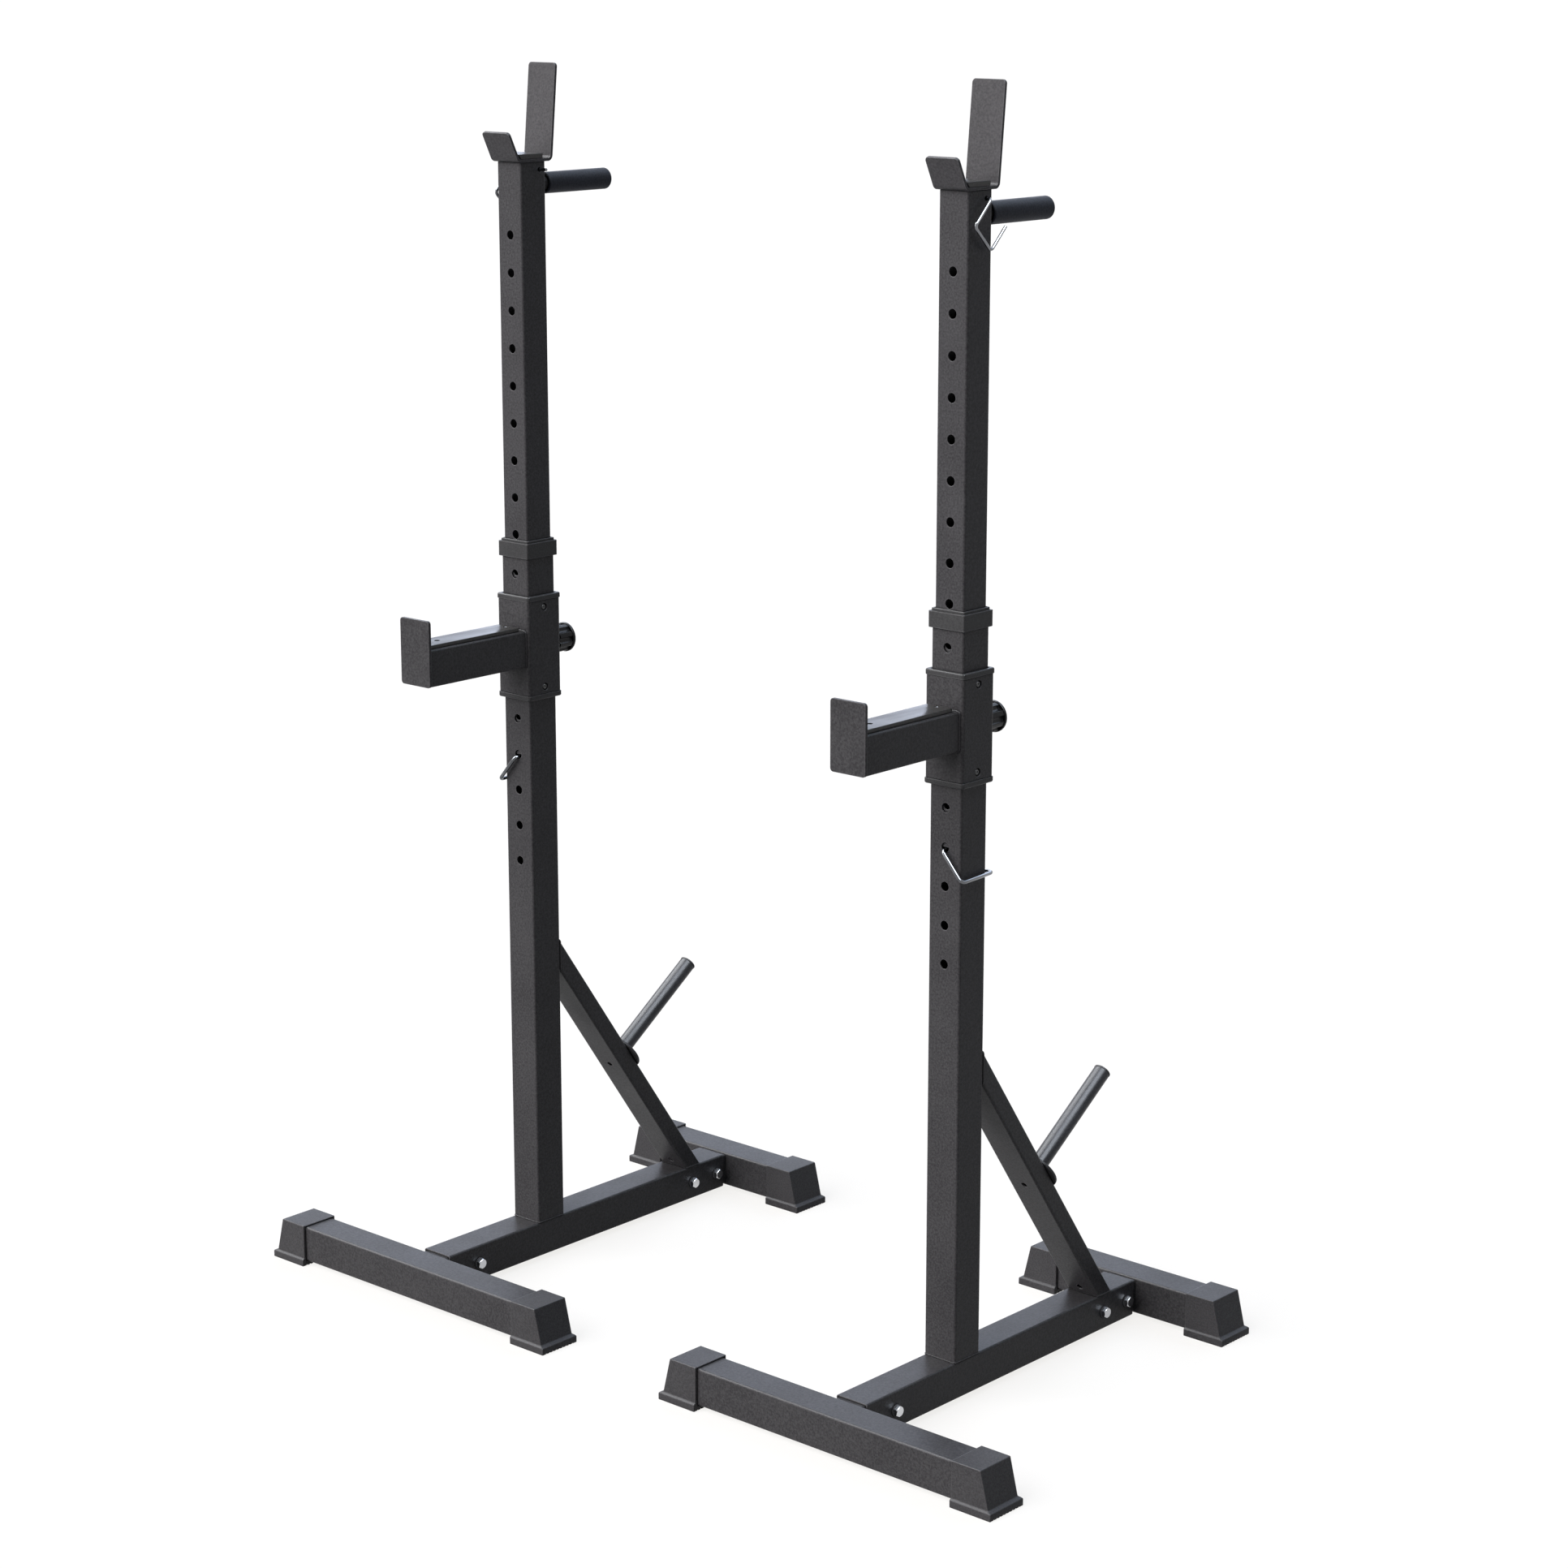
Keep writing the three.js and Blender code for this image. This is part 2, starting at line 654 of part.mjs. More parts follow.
// The pull-up handle behind the inner post: a neck, and the grip pushed over it
function handle(prefix) {
  const neckStart = mastSize / 2 + seatGap;
  const gripStart = mastSize / 2 + gripOffset;
  const gripEnd = gripStart + gripLength;
  const neckLength = gripEnd - gripEndWall - seatGap - neckStart;
  const neck = roundBar("y", neckDiameter, neckLength).translate(0, neckStart + neckLength / 2, 0);
  const gripRadius = gripDiameter / 2;
  const boreRadius = neckDiameter / 2 + seatGap;
  const grip = turned([
    [0, gripStart],
    [gripRadius - roundedEdge, gripStart],
    [gripRadius, gripStart + roundedEdge],
    [gripRadius, gripEnd - roundedEdge],
    [gripRadius - roundedEdge, gripEnd],
    [0, gripEnd],
  ]);
  const boreLength = gripLength - gripEndWall + overrun;
  const boreMiddle = gripEnd - gripEndWall - boreLength / 2;
  const mouthLength = gripMouthDepth + overrun;
  const mouthMiddle = gripStart + gripMouthDepth - mouthLength / 2;
  const hollow = cut(grip, [
    roundBar("y", 2 * boreRadius, boreLength).translate(0, boreMiddle, 0),
    roundBar("y", gripMouthDiameter, mouthLength).translate(0, mouthMiddle, 0),
  ]);
  return placed(
    groupOf([
      piece(prefix + "handle_rod", neck, paintedSteel()),
      piece(prefix + "handle_grip", hollow, moldedPlastic()),
    ]),
    0,
    0,
    -handleDrop,
  );
}

// A path through stations, which lie close together in a wire's bends and far apart on its straights
class StationPath extends THREE.Curve {
  constructor(stations) {
    super();
    this.stations = stations;
  }

  getPoint(share, target = new THREE.Vector3()) {
    const place = share * (this.stations.length - 1);
    const index = Math.min(Math.floor(place), this.stations.length - 2);
    return target.lerpVectors(this.stations[index], this.stations[index + 1], place - index);
  }

  getPointAt(share, target) {
    return this.getPoint(share, target);
  }

  getTangentAt(share, target) {
    return this.getTangent(share, target);
  }
}

// A round wire bent at each inner point of its route
function bentWire(route, diameter) {
  const points = route.map((place) => new THREE.Vector3(...place));
  const stations = [points[0]];
  for (let index = 1; index < points.length - 1; index += 1) {
    const corner = points[index];
    const into = corner.clone().add(points[index - 1].clone().sub(corner).setLength(wireBend));
    const out = corner.clone().add(points[index + 1].clone().sub(corner).setLength(wireBend));
    stations.push(...new THREE.QuadraticBezierCurve3(into, corner, out).getPoints(bendSteps));
  }
  stations.push(points.at(-1));
  const section = new THREE.Shape().absarc(0, 0, diameter / 2, 0, 4 * quarterTurn, false);
  const settings = {
    steps: stations.length - 1,
    extrudePath: new StationPath(stations),
    curveSegments: wireSides / 2,
    bevelEnabled: false,
  };
  return solidOf(new THREE.ExtrudeGeometry(section, settings));
}

// The pin that keeps the fork's stem in the inner post; side is 1 where its loop hangs on +X
function forkPin(name, side) {
  const plane = mastSize / 2 + forkPinStandoff;
  const halfDiagonal = forkPinSide / Math.SQRT2;
  const cutDiagonal = forkPinCutSide / Math.SQRT2;
  const wire = bentWire(
    [
      [-side * (mastSize / 2 + forkPinTip), 0, 0],
      [side * plane, 0, 0],
      [side * plane, -halfDiagonal, -halfDiagonal],
      [side * plane, 0, -2 * halfDiagonal],
      [side * plane, cutDiagonal, cutDiagonal - 2 * halfDiagonal],
    ],
    forkPinWire,
  );
  return placed(piece(name, wire, zincSteel()), 0, forkPinOffset, -forkPinDrop);
}

// The pin that carries the inner post, with a clip that goes round the post's side
function lockPin(name, side) {
  const beside = tubeSize / 2 + lockPinStandoff;
  const clipEnd = lockPinRise - lockPinDrop;
  const wire = bentWire(
    [
      [0, tubeSize / 2 + lockPinTip, 0],
      [0, -beside, 0],
      [side * beside, -beside, -lockPinDrop],
      [side * beside, beside, clipEnd],
      [side * (beside - lockPinHook), beside, clipEnd],
    ],
    lockPinWire,
  );
  return placed(piece(name, wire, zincSteel()), 0, 0, lockPinAxis);
}

// The sliding sleeve with the knob's boss behind and the bushes' screw holes on one side
function armSleeve(name) {
  const length = sleeveHeight - 2 * (bushRimHeight + seatGap);
  const tube = squareTube("z", length, sleeveSize, sleeveWall, sleeveCorner);
  const bossLengthInWall = bossLength + sleeveWall / 2;
  const boss = roundBar("y", bossDiameter, bossLengthInWall);
  const bossMiddle = sleeveSize / 2 + bossLength - bossLengthInWall / 2;
  const boreLength = bossLength + 4 * sleeveWall;
  const bore = roundBar("y", plungerDiameter + 2 * seatGap, boreLength);
  const screwHole = roundBar("x", bushScrewDiameter, sleeveSize / 2, holeSides);
  const tools = [
    bore.translate(0, bossMiddle, 0),
    screwHole.translate(sleeveSize / 2, 0, bushScrewOffset),
    screwHole.translate(sleeveSize / 2, 0, -bushScrewOffset),
  ];
  return piece(name, cut(joined([tube, boss.translate(0, bossMiddle, 0)]), tools), paintedSteel());
}

// A guide bush with a rim on the sleeve's end; end is 1 at the top and -1 at the bottom
function sleeveBush(name, end) {
  const rimSize = sleeveSize + 2 * bushRimLip;
  const rim = softBlock(rimSize, rimSize, bushRimHeight, sleeveCorner, roundedEdge);
  const insertSize = sleeveSize - 2 * (sleeveWall + seatGap);
  const insertLength = bushInsert + bushRimHeight / 2;
  const insert = extruded(roundedOutline(insertSize, insertSize, tubeCorner), "z", insertLength);
  const opening = tubeSize + 2 * slideGap;
  const space = extruded(roundedOutline(opening, opening, tubeCorner), "z", 4 * insertLength);
  const solid = joined([
    rim.translate(0, 0, bushRimHeight / 2),
    insert.translate(0, 0, bushRimHeight / 2 - insertLength / 2),
  ]);
  const mesh = piece(name, cut(solid, [space]), moldedPlastic());
  mesh.rotation.x = end > 0 ? 0 : Math.PI;
  return placed(mesh, 0, 0, end * (sleeveHeight / 2 - bushRimHeight));
}

function armTube(name) {
  const start = sleeveSize / 2 + seatGap;
  const end = armReach - armPlateThickness - seatGap;
  const tube = squareTube("y", end - start, tubeSize, tubeWall, tubeCorner);
  return placed(piece(name, tube, paintedSteel()), 0, -(start + end) / 2, 0);
}

function armEndPlate(name) {
  const outline = roundedOutline(armPlateWidth, armPlateHeight, armPlateCorner);
  const plate = extruded(outline, "y", armPlateThickness, 2);
  const middle = armPlateHeight / 2 - tubeSize / 2;
  return placed(piece(name, plate, paintedSteel()), 0, armPlateThickness / 2 - armReach, middle);
}

// The wear pad on the arm, held by two sunk screws
function armPad(name) {
  const start = sleeveSize / 2 + armPadInset;
  const end = armReach - armPlateThickness - seatGap;
  const pad = softBlock(armPadWidth, end - start, armPadThickness, armPadCorner, roundedEdge);
  const screwHole = roundBar("z", padScrewDiameter, armPadThickness, holeSides);
  const firstScrew = (end - start) / 2 - armPadScrewInset;
  const tools = [firstScrew, firstScrew - armPadScrewPitch].map((y) =>
    screwHole.translate(0, y, armPadThickness / 2),
  );
  const height = tubeSize / 2 + seatGap + armPadThickness / 2;
  return placed(piece(name, cut(pad, tools), padRubber()), 0, -(start + end) / 2, height);
}

// The fluted knob and the plunger that it draws out of the post
function pullKnob(name) {
  const nose = tubeSize / 2 + seatGap;
  const start = sleeveSize / 2 + bossLength + knobStart;
  const plungerLength = start + knobLength / 2 - nose;
  const plunger = roundBar("y", plungerDiameter, plungerLength);
  const outline = new THREE.Shape();
  const steps = knobFlutes * stepsPerFlute;
  for (let step = 0; step < steps; step += 1) {
    const angle = (step / steps) * 4 * quarterTurn;
    const radius = knobDiameter / 2 - (knobFluteDepth * (1 + Math.cos(knobFlutes * angle))) / 2;
    outline[step ? "lineTo" : "moveTo"](radius * Math.cos(angle), radius * Math.sin(angle));
  }
  outline.closePath();
  const hub = extruded(outline, "y", knobLength).translate(0, start + knobLength / 2, 0);
  const rimRadius = knobRimDiameter / 2;
  const rimStart = start + knobLength - roundedEdge;
  const rimEnd = start + knobLength + knobRimLength;
  const rim = turned([
    [0, rimStart],
    [rimRadius - roundedEdge, rimStart],
    [rimRadius, rimStart + roundedEdge],
    [rimRadius, rimEnd - roundedEdge],
    [rimRadius - roundedEdge, rimEnd],
    [0, rimEnd],
  ]);
  const solid = joined([plunger.translate(0, nose + plungerLength / 2, 0), hub, rim]);
  return piece(name, solid, glossPlastic());
}

function baseAndPost(prefix) {
  return groupOf([
    crossBar(prefix + "front_cross_bar", frontBarLength, frontBarY, 1),
    crossBar(prefix + "rear_cross_bar", rearBarLength, rearBarY, -1),
    baseBeam(prefix + "base_beam"),
    ...boltPlaces.map(({ name, y }) => beamBolt(prefix + name, y)),
    ...crossBarFeet(prefix, "front", frontBarLength, frontBarY),
    ...crossBarFeet(prefix, "rear", rearBarLength, rearBarY),
    outerPost(prefix + "outer_post"),
    postCollar(prefix + "post_collar"),
    rearBrace(prefix + "rear_brace"),
    storagePeg(prefix),
  ]);
}

// Everything that rises with the inner post, from its top end
function mast(prefix, side) {
  const group = groupOf([
    innerPost(prefix + "inner_post"),
    barFork(prefix + "bar_fork"),
    forkPad(prefix + "fork_pad"),
    handle(prefix),
    forkPin(prefix + "fork_pin", side),
  ]);
  return placed(group, 0, 0, mastTop);
}

// The spotter arm, from the knob's axis
function spotterArm(prefix) {
  const group = groupOf([
    armSleeve(prefix + "arm_sleeve"),
    sleeveBush(prefix + "sleeve_top_bush", 1),
    sleeveBush(prefix + "sleeve_bottom_bush", -1),
    armTube(prefix + "arm_tube"),
    armEndPlate(prefix + "arm_end_plate"),
    armPad(prefix + "arm_pad"),
    pullKnob(prefix + "pull_knob"),
  ]);
  return placed(group, 0, 0, armAxis);
}

// One stand; side is 1 for the right one, whose pins are put in from +X
function stand(prefix, side) {
  const group = groupOf([
    baseAndPost(prefix),
    mast(prefix, side),
    spotterArm(prefix),
    lockPin(prefix + "lock_pin", side),
  ]);
  return placed(group, (side * standSpacing) / 2, 0, 0);
}

// The origin is on the floor, in the middle of the footprint
const pair = groupOf([stand("right_", 1), stand("left_", -1)]);
pair.position.y = -(frontBarY + rearBarY) / 2;

export default new THREE.Group().add(pair);
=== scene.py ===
import math

import bpy
from mathutils import Matrix, Vector


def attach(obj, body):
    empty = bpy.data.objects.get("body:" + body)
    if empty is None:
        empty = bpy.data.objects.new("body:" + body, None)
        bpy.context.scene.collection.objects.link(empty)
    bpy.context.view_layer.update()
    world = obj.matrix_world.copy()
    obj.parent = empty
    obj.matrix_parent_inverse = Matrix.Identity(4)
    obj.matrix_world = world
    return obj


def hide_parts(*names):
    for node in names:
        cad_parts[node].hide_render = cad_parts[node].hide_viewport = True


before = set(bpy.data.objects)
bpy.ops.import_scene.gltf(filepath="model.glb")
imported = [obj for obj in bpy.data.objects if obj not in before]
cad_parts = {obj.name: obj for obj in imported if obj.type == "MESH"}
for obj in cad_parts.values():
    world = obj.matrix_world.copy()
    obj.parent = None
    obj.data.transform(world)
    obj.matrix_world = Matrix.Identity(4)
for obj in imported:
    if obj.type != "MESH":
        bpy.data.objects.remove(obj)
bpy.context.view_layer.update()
bpy.ops.object.select_all(action="DESELECT")

# Studio: a wide white floor, a broad lamp in front, cool light and a low window behind, and three
# lamps that only show as gloss along edges and round tubes. The camera stands at the photograph's
# place: 1.84 m up, turned 42 degrees from the posts' front faces.
scene = bpy.context.scene
scene.view_settings.view_transform = "Standard"

camera = bpy.data.objects.new("camera", bpy.data.cameras.new("camera"))
camera.data.sensor_width = 36
camera.data.lens = 81.43
camera.data.clip_end = 1000
camera.location = (3.035, -3.38625, 1.8394)
view_direction = Vector((-0.64645, 0.72527, -0.23682))
camera.rotation_euler = view_direction.to_track_quat("-Z", "Y").to_euler()
scene.collection.objects.link(camera)
scene.camera = camera


def broad_lamp(name, towards, strength, spread, tint, diffuse=True, glossy=True):
    """A soft lamp, so far off that it lights the whole floor evenly. Its spread is in degrees."""
    lamp = bpy.data.objects.new(name, bpy.data.lights.new(name, "SUN"))
    lamp.data.energy = strength
    lamp.data.angle = math.radians(spread)
    lamp.data.color = tint
    lamp.visible_diffuse = diffuse
    lamp.visible_glossy = glossy
    lamp.rotation_euler = (-Vector(towards)).to_track_quat("-Z", "Y").to_euler()
    scene.collection.objects.link(lamp)


broad_lamp("front_lamp", (-0.30, -0.84, 0.60), 5.0, 64, (1.0, 0.975, 0.985), glossy=False)
broad_lamp("rear_lamp", (-0.03, 0.60, 0.80), 1.5, 50, (0.60, 0.75, 1.0))
broad_lamp("window", (-0.666, 0.705, 0.27), 0.54, 34, (0.66, 0.76, 1.0))
broad_lamp("low_gloss", (-0.646, -0.756, 0.15), 1.5, 44, (1.0, 0.98, 0.98), diffuse=False)
broad_lamp("high_gloss", (-0.58, -0.24, 0.78), 11, 56, (0.96, 0.98, 1.0), diffuse=False)
broad_lamp("top_gloss", (0.50, -0.03, 0.86), 10, 46, (0.86, 0.92, 1.0), diffuse=False)


def seen_by_camera_or_mirror(nodes, links):
    """1 for rays that show the background to the camera, to metal or to glass."""
    path = nodes.new("ShaderNodeLightPath")
    seen = path.outputs["Is Camera Ray"]
    for ray in ("Is Glossy Ray", "Is Transmission Ray"):
        either = nodes.new("ShaderNodeMath")
        either.operation = "MAXIMUM"
        links.new(seen, either.inputs[0])
        links.new(path.outputs[ray], either.inputs[1])
        seen = either.outputs[0]
    return seen


world = bpy.data.worlds.new("studio")
world.use_nodes = True
scene.world = world
nodes, links = world.node_tree.nodes, world.node_tree.links
even_light = nodes["Background"]
even_light.inputs["Color"].default_value = (0.86, 0.91, 1.0, 1)
even_light.inputs["Strength"].default_value = 0.025
white = nodes.new("ShaderNodeBackground")
white.inputs["Color"].default_value = (1, 1, 1, 1)
white.inputs["Strength"].default_value = 1.0
shown = nodes.new("ShaderNodeMixShader")
links.new(seen_by_camera_or_mirror(nodes, links), shown.inputs["Fac"])
links.new(even_light.outputs[0], shown.inputs[1])
links.new(white.outputs[0], shown.inputs[2])
links.new(shown.outputs[0], nodes["World Output"].inputs["Surface"])

floor_size = 400
below_soles = 0.0002
bpy.ops.mesh.primitive_plane_add(size=floor_size, location=(0, 0, -below_soles))
bpy.ops.object.transform_apply(location=True, rotation=True, scale=True)
floor = bpy.context.object
floor.name = "studio_floor"
floor_paper = bpy.data.materials.new("floor paper")
floor_paper.use_nodes = True
nodes, links = floor_paper.node_tree.nodes, floor_paper.node_tree.links
nodes.clear()
paper = nodes.new("ShaderNodeBsdfDiffuse")
paper.inputs["Color"].default_value = (0.17, 0.17, 0.17, 1)
glow = nodes.new("ShaderNodeEmission")
glow.inputs["Color"].default_value = (1.0, 0.99, 0.97, 1)
glow_shown = nodes.new("ShaderNodeMath")
glow_shown.operation = "MULTIPLY"
glow_shown.inputs[1].default_value = 0.84
links.new(seen_by_camera_or_mirror(nodes, links), glow_shown.inputs[0])
links.new(glow_shown.outputs[0], glow.inputs["Strength"])
both = nodes.new("ShaderNodeAddShader")
links.new(paper.outputs[0], both.inputs[0])
links.new(glow.outputs[0], both.inputs[1])
links.new(both.outputs[0], nodes.new("ShaderNodeOutputMaterial").inputs["Surface"])
floor.data.materials.append(floor_paper)

# Cross bars: 50 mm square steel tube with 2 mm walls, powder coated in a fine satin black.
# Each has a shorter, narrower stub welded square to its middle, which the beam slides over.
post_places = {"right_": Vector((0.376, -0.08025, 0)), "left_": Vector((-0.376, -0.08025, 0))}
tube_half = 0.025
bar_bottom, bar_top = 0.007, 0.057
fit_gap = 0.0003


def choose(piece, kind, wanted):
    """Opens a piece for editing, with only those points, edges or faces chosen that are wanted."""
    bpy.ops.object.select_all(action="DESELECT")
    piece.select_set(True)
    bpy.context.view_layer.objects.active = piece
    bpy.ops.object.mode_set(mode="EDIT")
    bpy.ops.mesh.select_mode(type=kind)
    bpy.ops.mesh.select_all(action="DESELECT")
    bpy.ops.object.mode_set(mode="OBJECT")
    mesh = piece.data
    for part in {"VERT": mesh.vertices, "EDGE": mesh.edges, "FACE": mesh.polygons}[kind]:
        corners = [part.co] if kind == "VERT" else [mesh.vertices[i].co for i in part.vertices]
        part.select = wanted(corners)
    bpy.ops.object.mode_set(mode="EDIT")


def leave():
    """Ends the editing of a piece."""
    bpy.ops.object.mode_set(mode="OBJECT")


def level(axis, place):
    """Wanted are parts that lie wholly at this place along the axis."""
    return lambda corners: all(abs(corner[axis] - place) < 1e-5 for corner in corners)


def along(axis):
    """Wanted are edges that run along the axis."""
    return lambda ends: abs(abs(ends[0][axis] - ends[1][axis]) - (ends[0] - ends[1]).length) < 1e-6


def bevelled(piece, kind, wanted, width, segments):
    """Rounds the chosen points or edges."""
    choose(piece, kind, wanted)
    bpy.ops.mesh.bevel(offset=width, segments=segments,
                       affect="VERTICES" if kind == "VERT" else "EDGES")
    leave()


def shifted(piece, kind, wanted, by):
    """Moves the chosen points, edges or faces."""
    choose(piece, kind, wanted)
    bpy.ops.transform.translate(value=by)
    leave()


def blank(name, low, high):
    """A block between two corners."""
    middle = [(a + b) / 2 for a, b in zip(low, high)]
    size = [b - a for a, b in zip(low, high)]
    bpy.ops.mesh.primitive_cube_add(size=1, location=middle, scale=size)
    bpy.ops.object.transform_apply(location=True, rotation=True, scale=True)
    bpy.context.object.name = name
    return bpy.context.object


def worked(piece, kind, **settings):
    """Applies one modifier to a piece."""
    step = piece.modifiers.new(kind.lower(), kind)
    for setting, value in settings.items():
        setattr(step, setting, value)
    bpy.context.view_layer.objects.active = piece
    bpy.ops.object.modifier_apply(modifier=step.name)


def tube(name, low, high, axis, wall=0.002, corner=0.003):
    """A square tube with round corners, open at both ends of the axis."""
    piece = blank(name, low, high)
    bevelled(piece, "EDGE", along(axis), corner, 6)
    ends = level(axis, low[axis]), level(axis, high[axis])
    choose(piece, "FACE", lambda corners: any(end(corners) for end in ends))
    bpy.ops.mesh.inset(thickness=wall)
    bpy.ops.mesh.delete(type="FACE")
    bpy.ops.mesh.select_mode(type="EDGE")
    bpy.ops.mesh.select_non_manifold()
    bpy.ops.mesh.bridge_edge_loops()
    bpy.ops.mesh.select_all(action="SELECT")
    bpy.ops.mesh.normals_make_consistent(inside=False)
    leave()
    return piece


def as_one(pieces):
    """Joins pieces into the first of them."""
    bpy.ops.object.select_all(action="DESELECT")
    for piece in pieces:
        piece.select_set(True)
    bpy.context.view_layer.objects.active = pieces[0]
    bpy.ops.object.join()
    return pieces[0]


def eased(piece, width, segments=3, sharper_than=40):
    """Rounds a piece's sharp edges and shades it smooth across them."""
    worked(piece, "BEVEL", width=width, segments=segments, limit_method="ANGLE",
           angle_limit=math.radians(sharper_than), use_clamp_overlap=True)
    bpy.ops.object.select_all(action="DESELECT")
    piece.select_set(True)
    bpy.context.view_layer.objects.active = piece
    bpy.ops.object.shade_smooth_by_angle(angle=math.radians(38))
    worked(piece, "WEIGHTED_NORMAL", keep_sharp=True, weight=90)
    return piece


def on_both_stands(piece, body, finish, node=None, mirrored=False):
    """Sets a finished piece on the right and the left stand and hangs it on the stand's body."""
    for stand, place in post_places.items():
        turned_over = mirrored and stand == "left_"
        copy = piece.copy()
        copy.data = piece.data.copy()
        scene.collection.objects.link(copy)
        mirror = Matrix.Diagonal((-1, 1, 1, 1)) if turned_over else Matrix.Identity(4)
        copy.data.transform(Matrix.Translation(place) @ mirror)
        if turned_over:
            copy.data.flip_normals()
        copy.name = stand + piece.name
        copy.data.name = copy.name
        copy.data.materials.clear()
        copy.data.materials.append(finish)
        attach(copy, stand + body)
        if node:
            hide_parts(stand + node)
    bpy.data.objects.remove(piece)


def grain_group():
    """A fine grain and a slow cloudiness, for coated and moulded surfaces."""
    group = bpy.data.node_groups.new("fine grain", "ShaderNodeTree")
    group.interface.new_socket(name="Grains per metre", in_out="INPUT",
                               socket_type="NodeSocketFloat")
    group.interface.new_socket(name="Height", in_out="OUTPUT", socket_type="NodeSocketFloat")
    group.interface.new_socket(name="Cloud", in_out="OUTPUT", socket_type="NodeSocketFloat")
    nodes, links = group.nodes, group.links
    given = nodes.new("NodeGroupInput")
    put_out = nodes.new("NodeGroupOutput")
    place = nodes.new("ShaderNodeTexCoord")
    grain = nodes.new("ShaderNodeTexNoise")
    grain.inputs["Detail"].default_value = 3
    grain.inputs["Roughness"].default_value = 0.6
    links.new(place.outputs["Object"], grain.inputs["Vector"])
    links.new(given.outputs["Grains per metre"], grain.inputs["Scale"])
    cloud = nodes.new("ShaderNodeTexNoise")
    cloud.inputs["Scale"].default_value = 14
    cloud.inputs["Detail"].default_value = 4
    links.new(place.outputs["Object"], cloud.inputs["Vector"])
    links.new(grain.outputs["Fac"], put_out.inputs["Height"])
    links.new(cloud.outputs["Fac"], put_out.inputs["Cloud"])
    return group


def ranged(nodes, links, value, low, high, to_low=0.0, to_high=1.0):
    """The value, spread from its own range to another."""
    spread = nodes.new("ShaderNodeMapRange")
    for socket, limit in (("From Min", low), ("From Max", high),
                          ("To Min", to_low), ("To Max", to_high)):
        spread.inputs[socket].default_value = limit
    links.new(value, spread.inputs["Value"])
    return spread.outputs["Result"]


def nearness_group(name, output, reach, samples, low, high, to_low=0.0, inside=False):
    """A mask from what lies near a surface, outside it or inside its own solid."""
    group = bpy.data.node_groups.new(name, "ShaderNodeTree")
    group.interface.new_socket(name=output, in_out="OUTPUT", socket_type="NodeSocketFloat")
    nodes, links = group.nodes, group.links
    nearby = nodes.new("ShaderNodeAmbientOcclusion")
    nearby.samples = samples
    nearby.inside = inside
    nearby.only_local = inside
    nearby.inputs["Distance"].default_value = reach
    mask = ranged(nodes, links, nearby.outputs["AO"], low, high, to_low)
    links.new(mask, nodes.new("NodeGroupOutput").inputs[output])
    return group


fine_grain = grain_group()
# 1 on open faces, less in narrow gaps and inner corners: a painted shade that darkens the colour
# where little light reaches.
painted_crevice_shade = nearness_group("painted_crevice_shade", "Open", 0.003, 6, 0.35, 0.92, to_low=0.1)
# 0 on flat faces, up to 1 on outer edges: a painted highlight that makes edges lighter as if they
#                                          caught the light.
painted_edge_highlight = nearness_group("rubbed edges", "Edge", 0.0015, 8, 0.90, 0.62, inside=True)


def grouped(nodes, group):
    """A node that runs a node group."""
    node = nodes.new("ShaderNodeGroup")
    node.node_tree = group
    return node


def two_tones(nodes, links, value, dark, light, low, high):
    """A colour that goes from dark to light while the value goes from low to high."""
    shade = nodes.new("ShaderNodeValToRGB")
    for tone, place, colour in zip(shade.color_ramp.elements, (low, high), (dark, light)):
        tone.position = place
        tone.color = (*colour, 1)
    links.new(value, shade.inputs["Fac"])
    return shade.outputs["Color"]


def in_relief(nodes, links, surface, height, strength, depth):
    """Lets a surface's grain catch the light."""
    relief = nodes.new("ShaderNodeBump")
    relief.inputs["Strength"].default_value = strength
    relief.inputs["Distance"].default_value = depth
    links.new(height, relief.inputs["Height"])
    links.new(relief.outputs["Normal"], surface.inputs["Normal"])


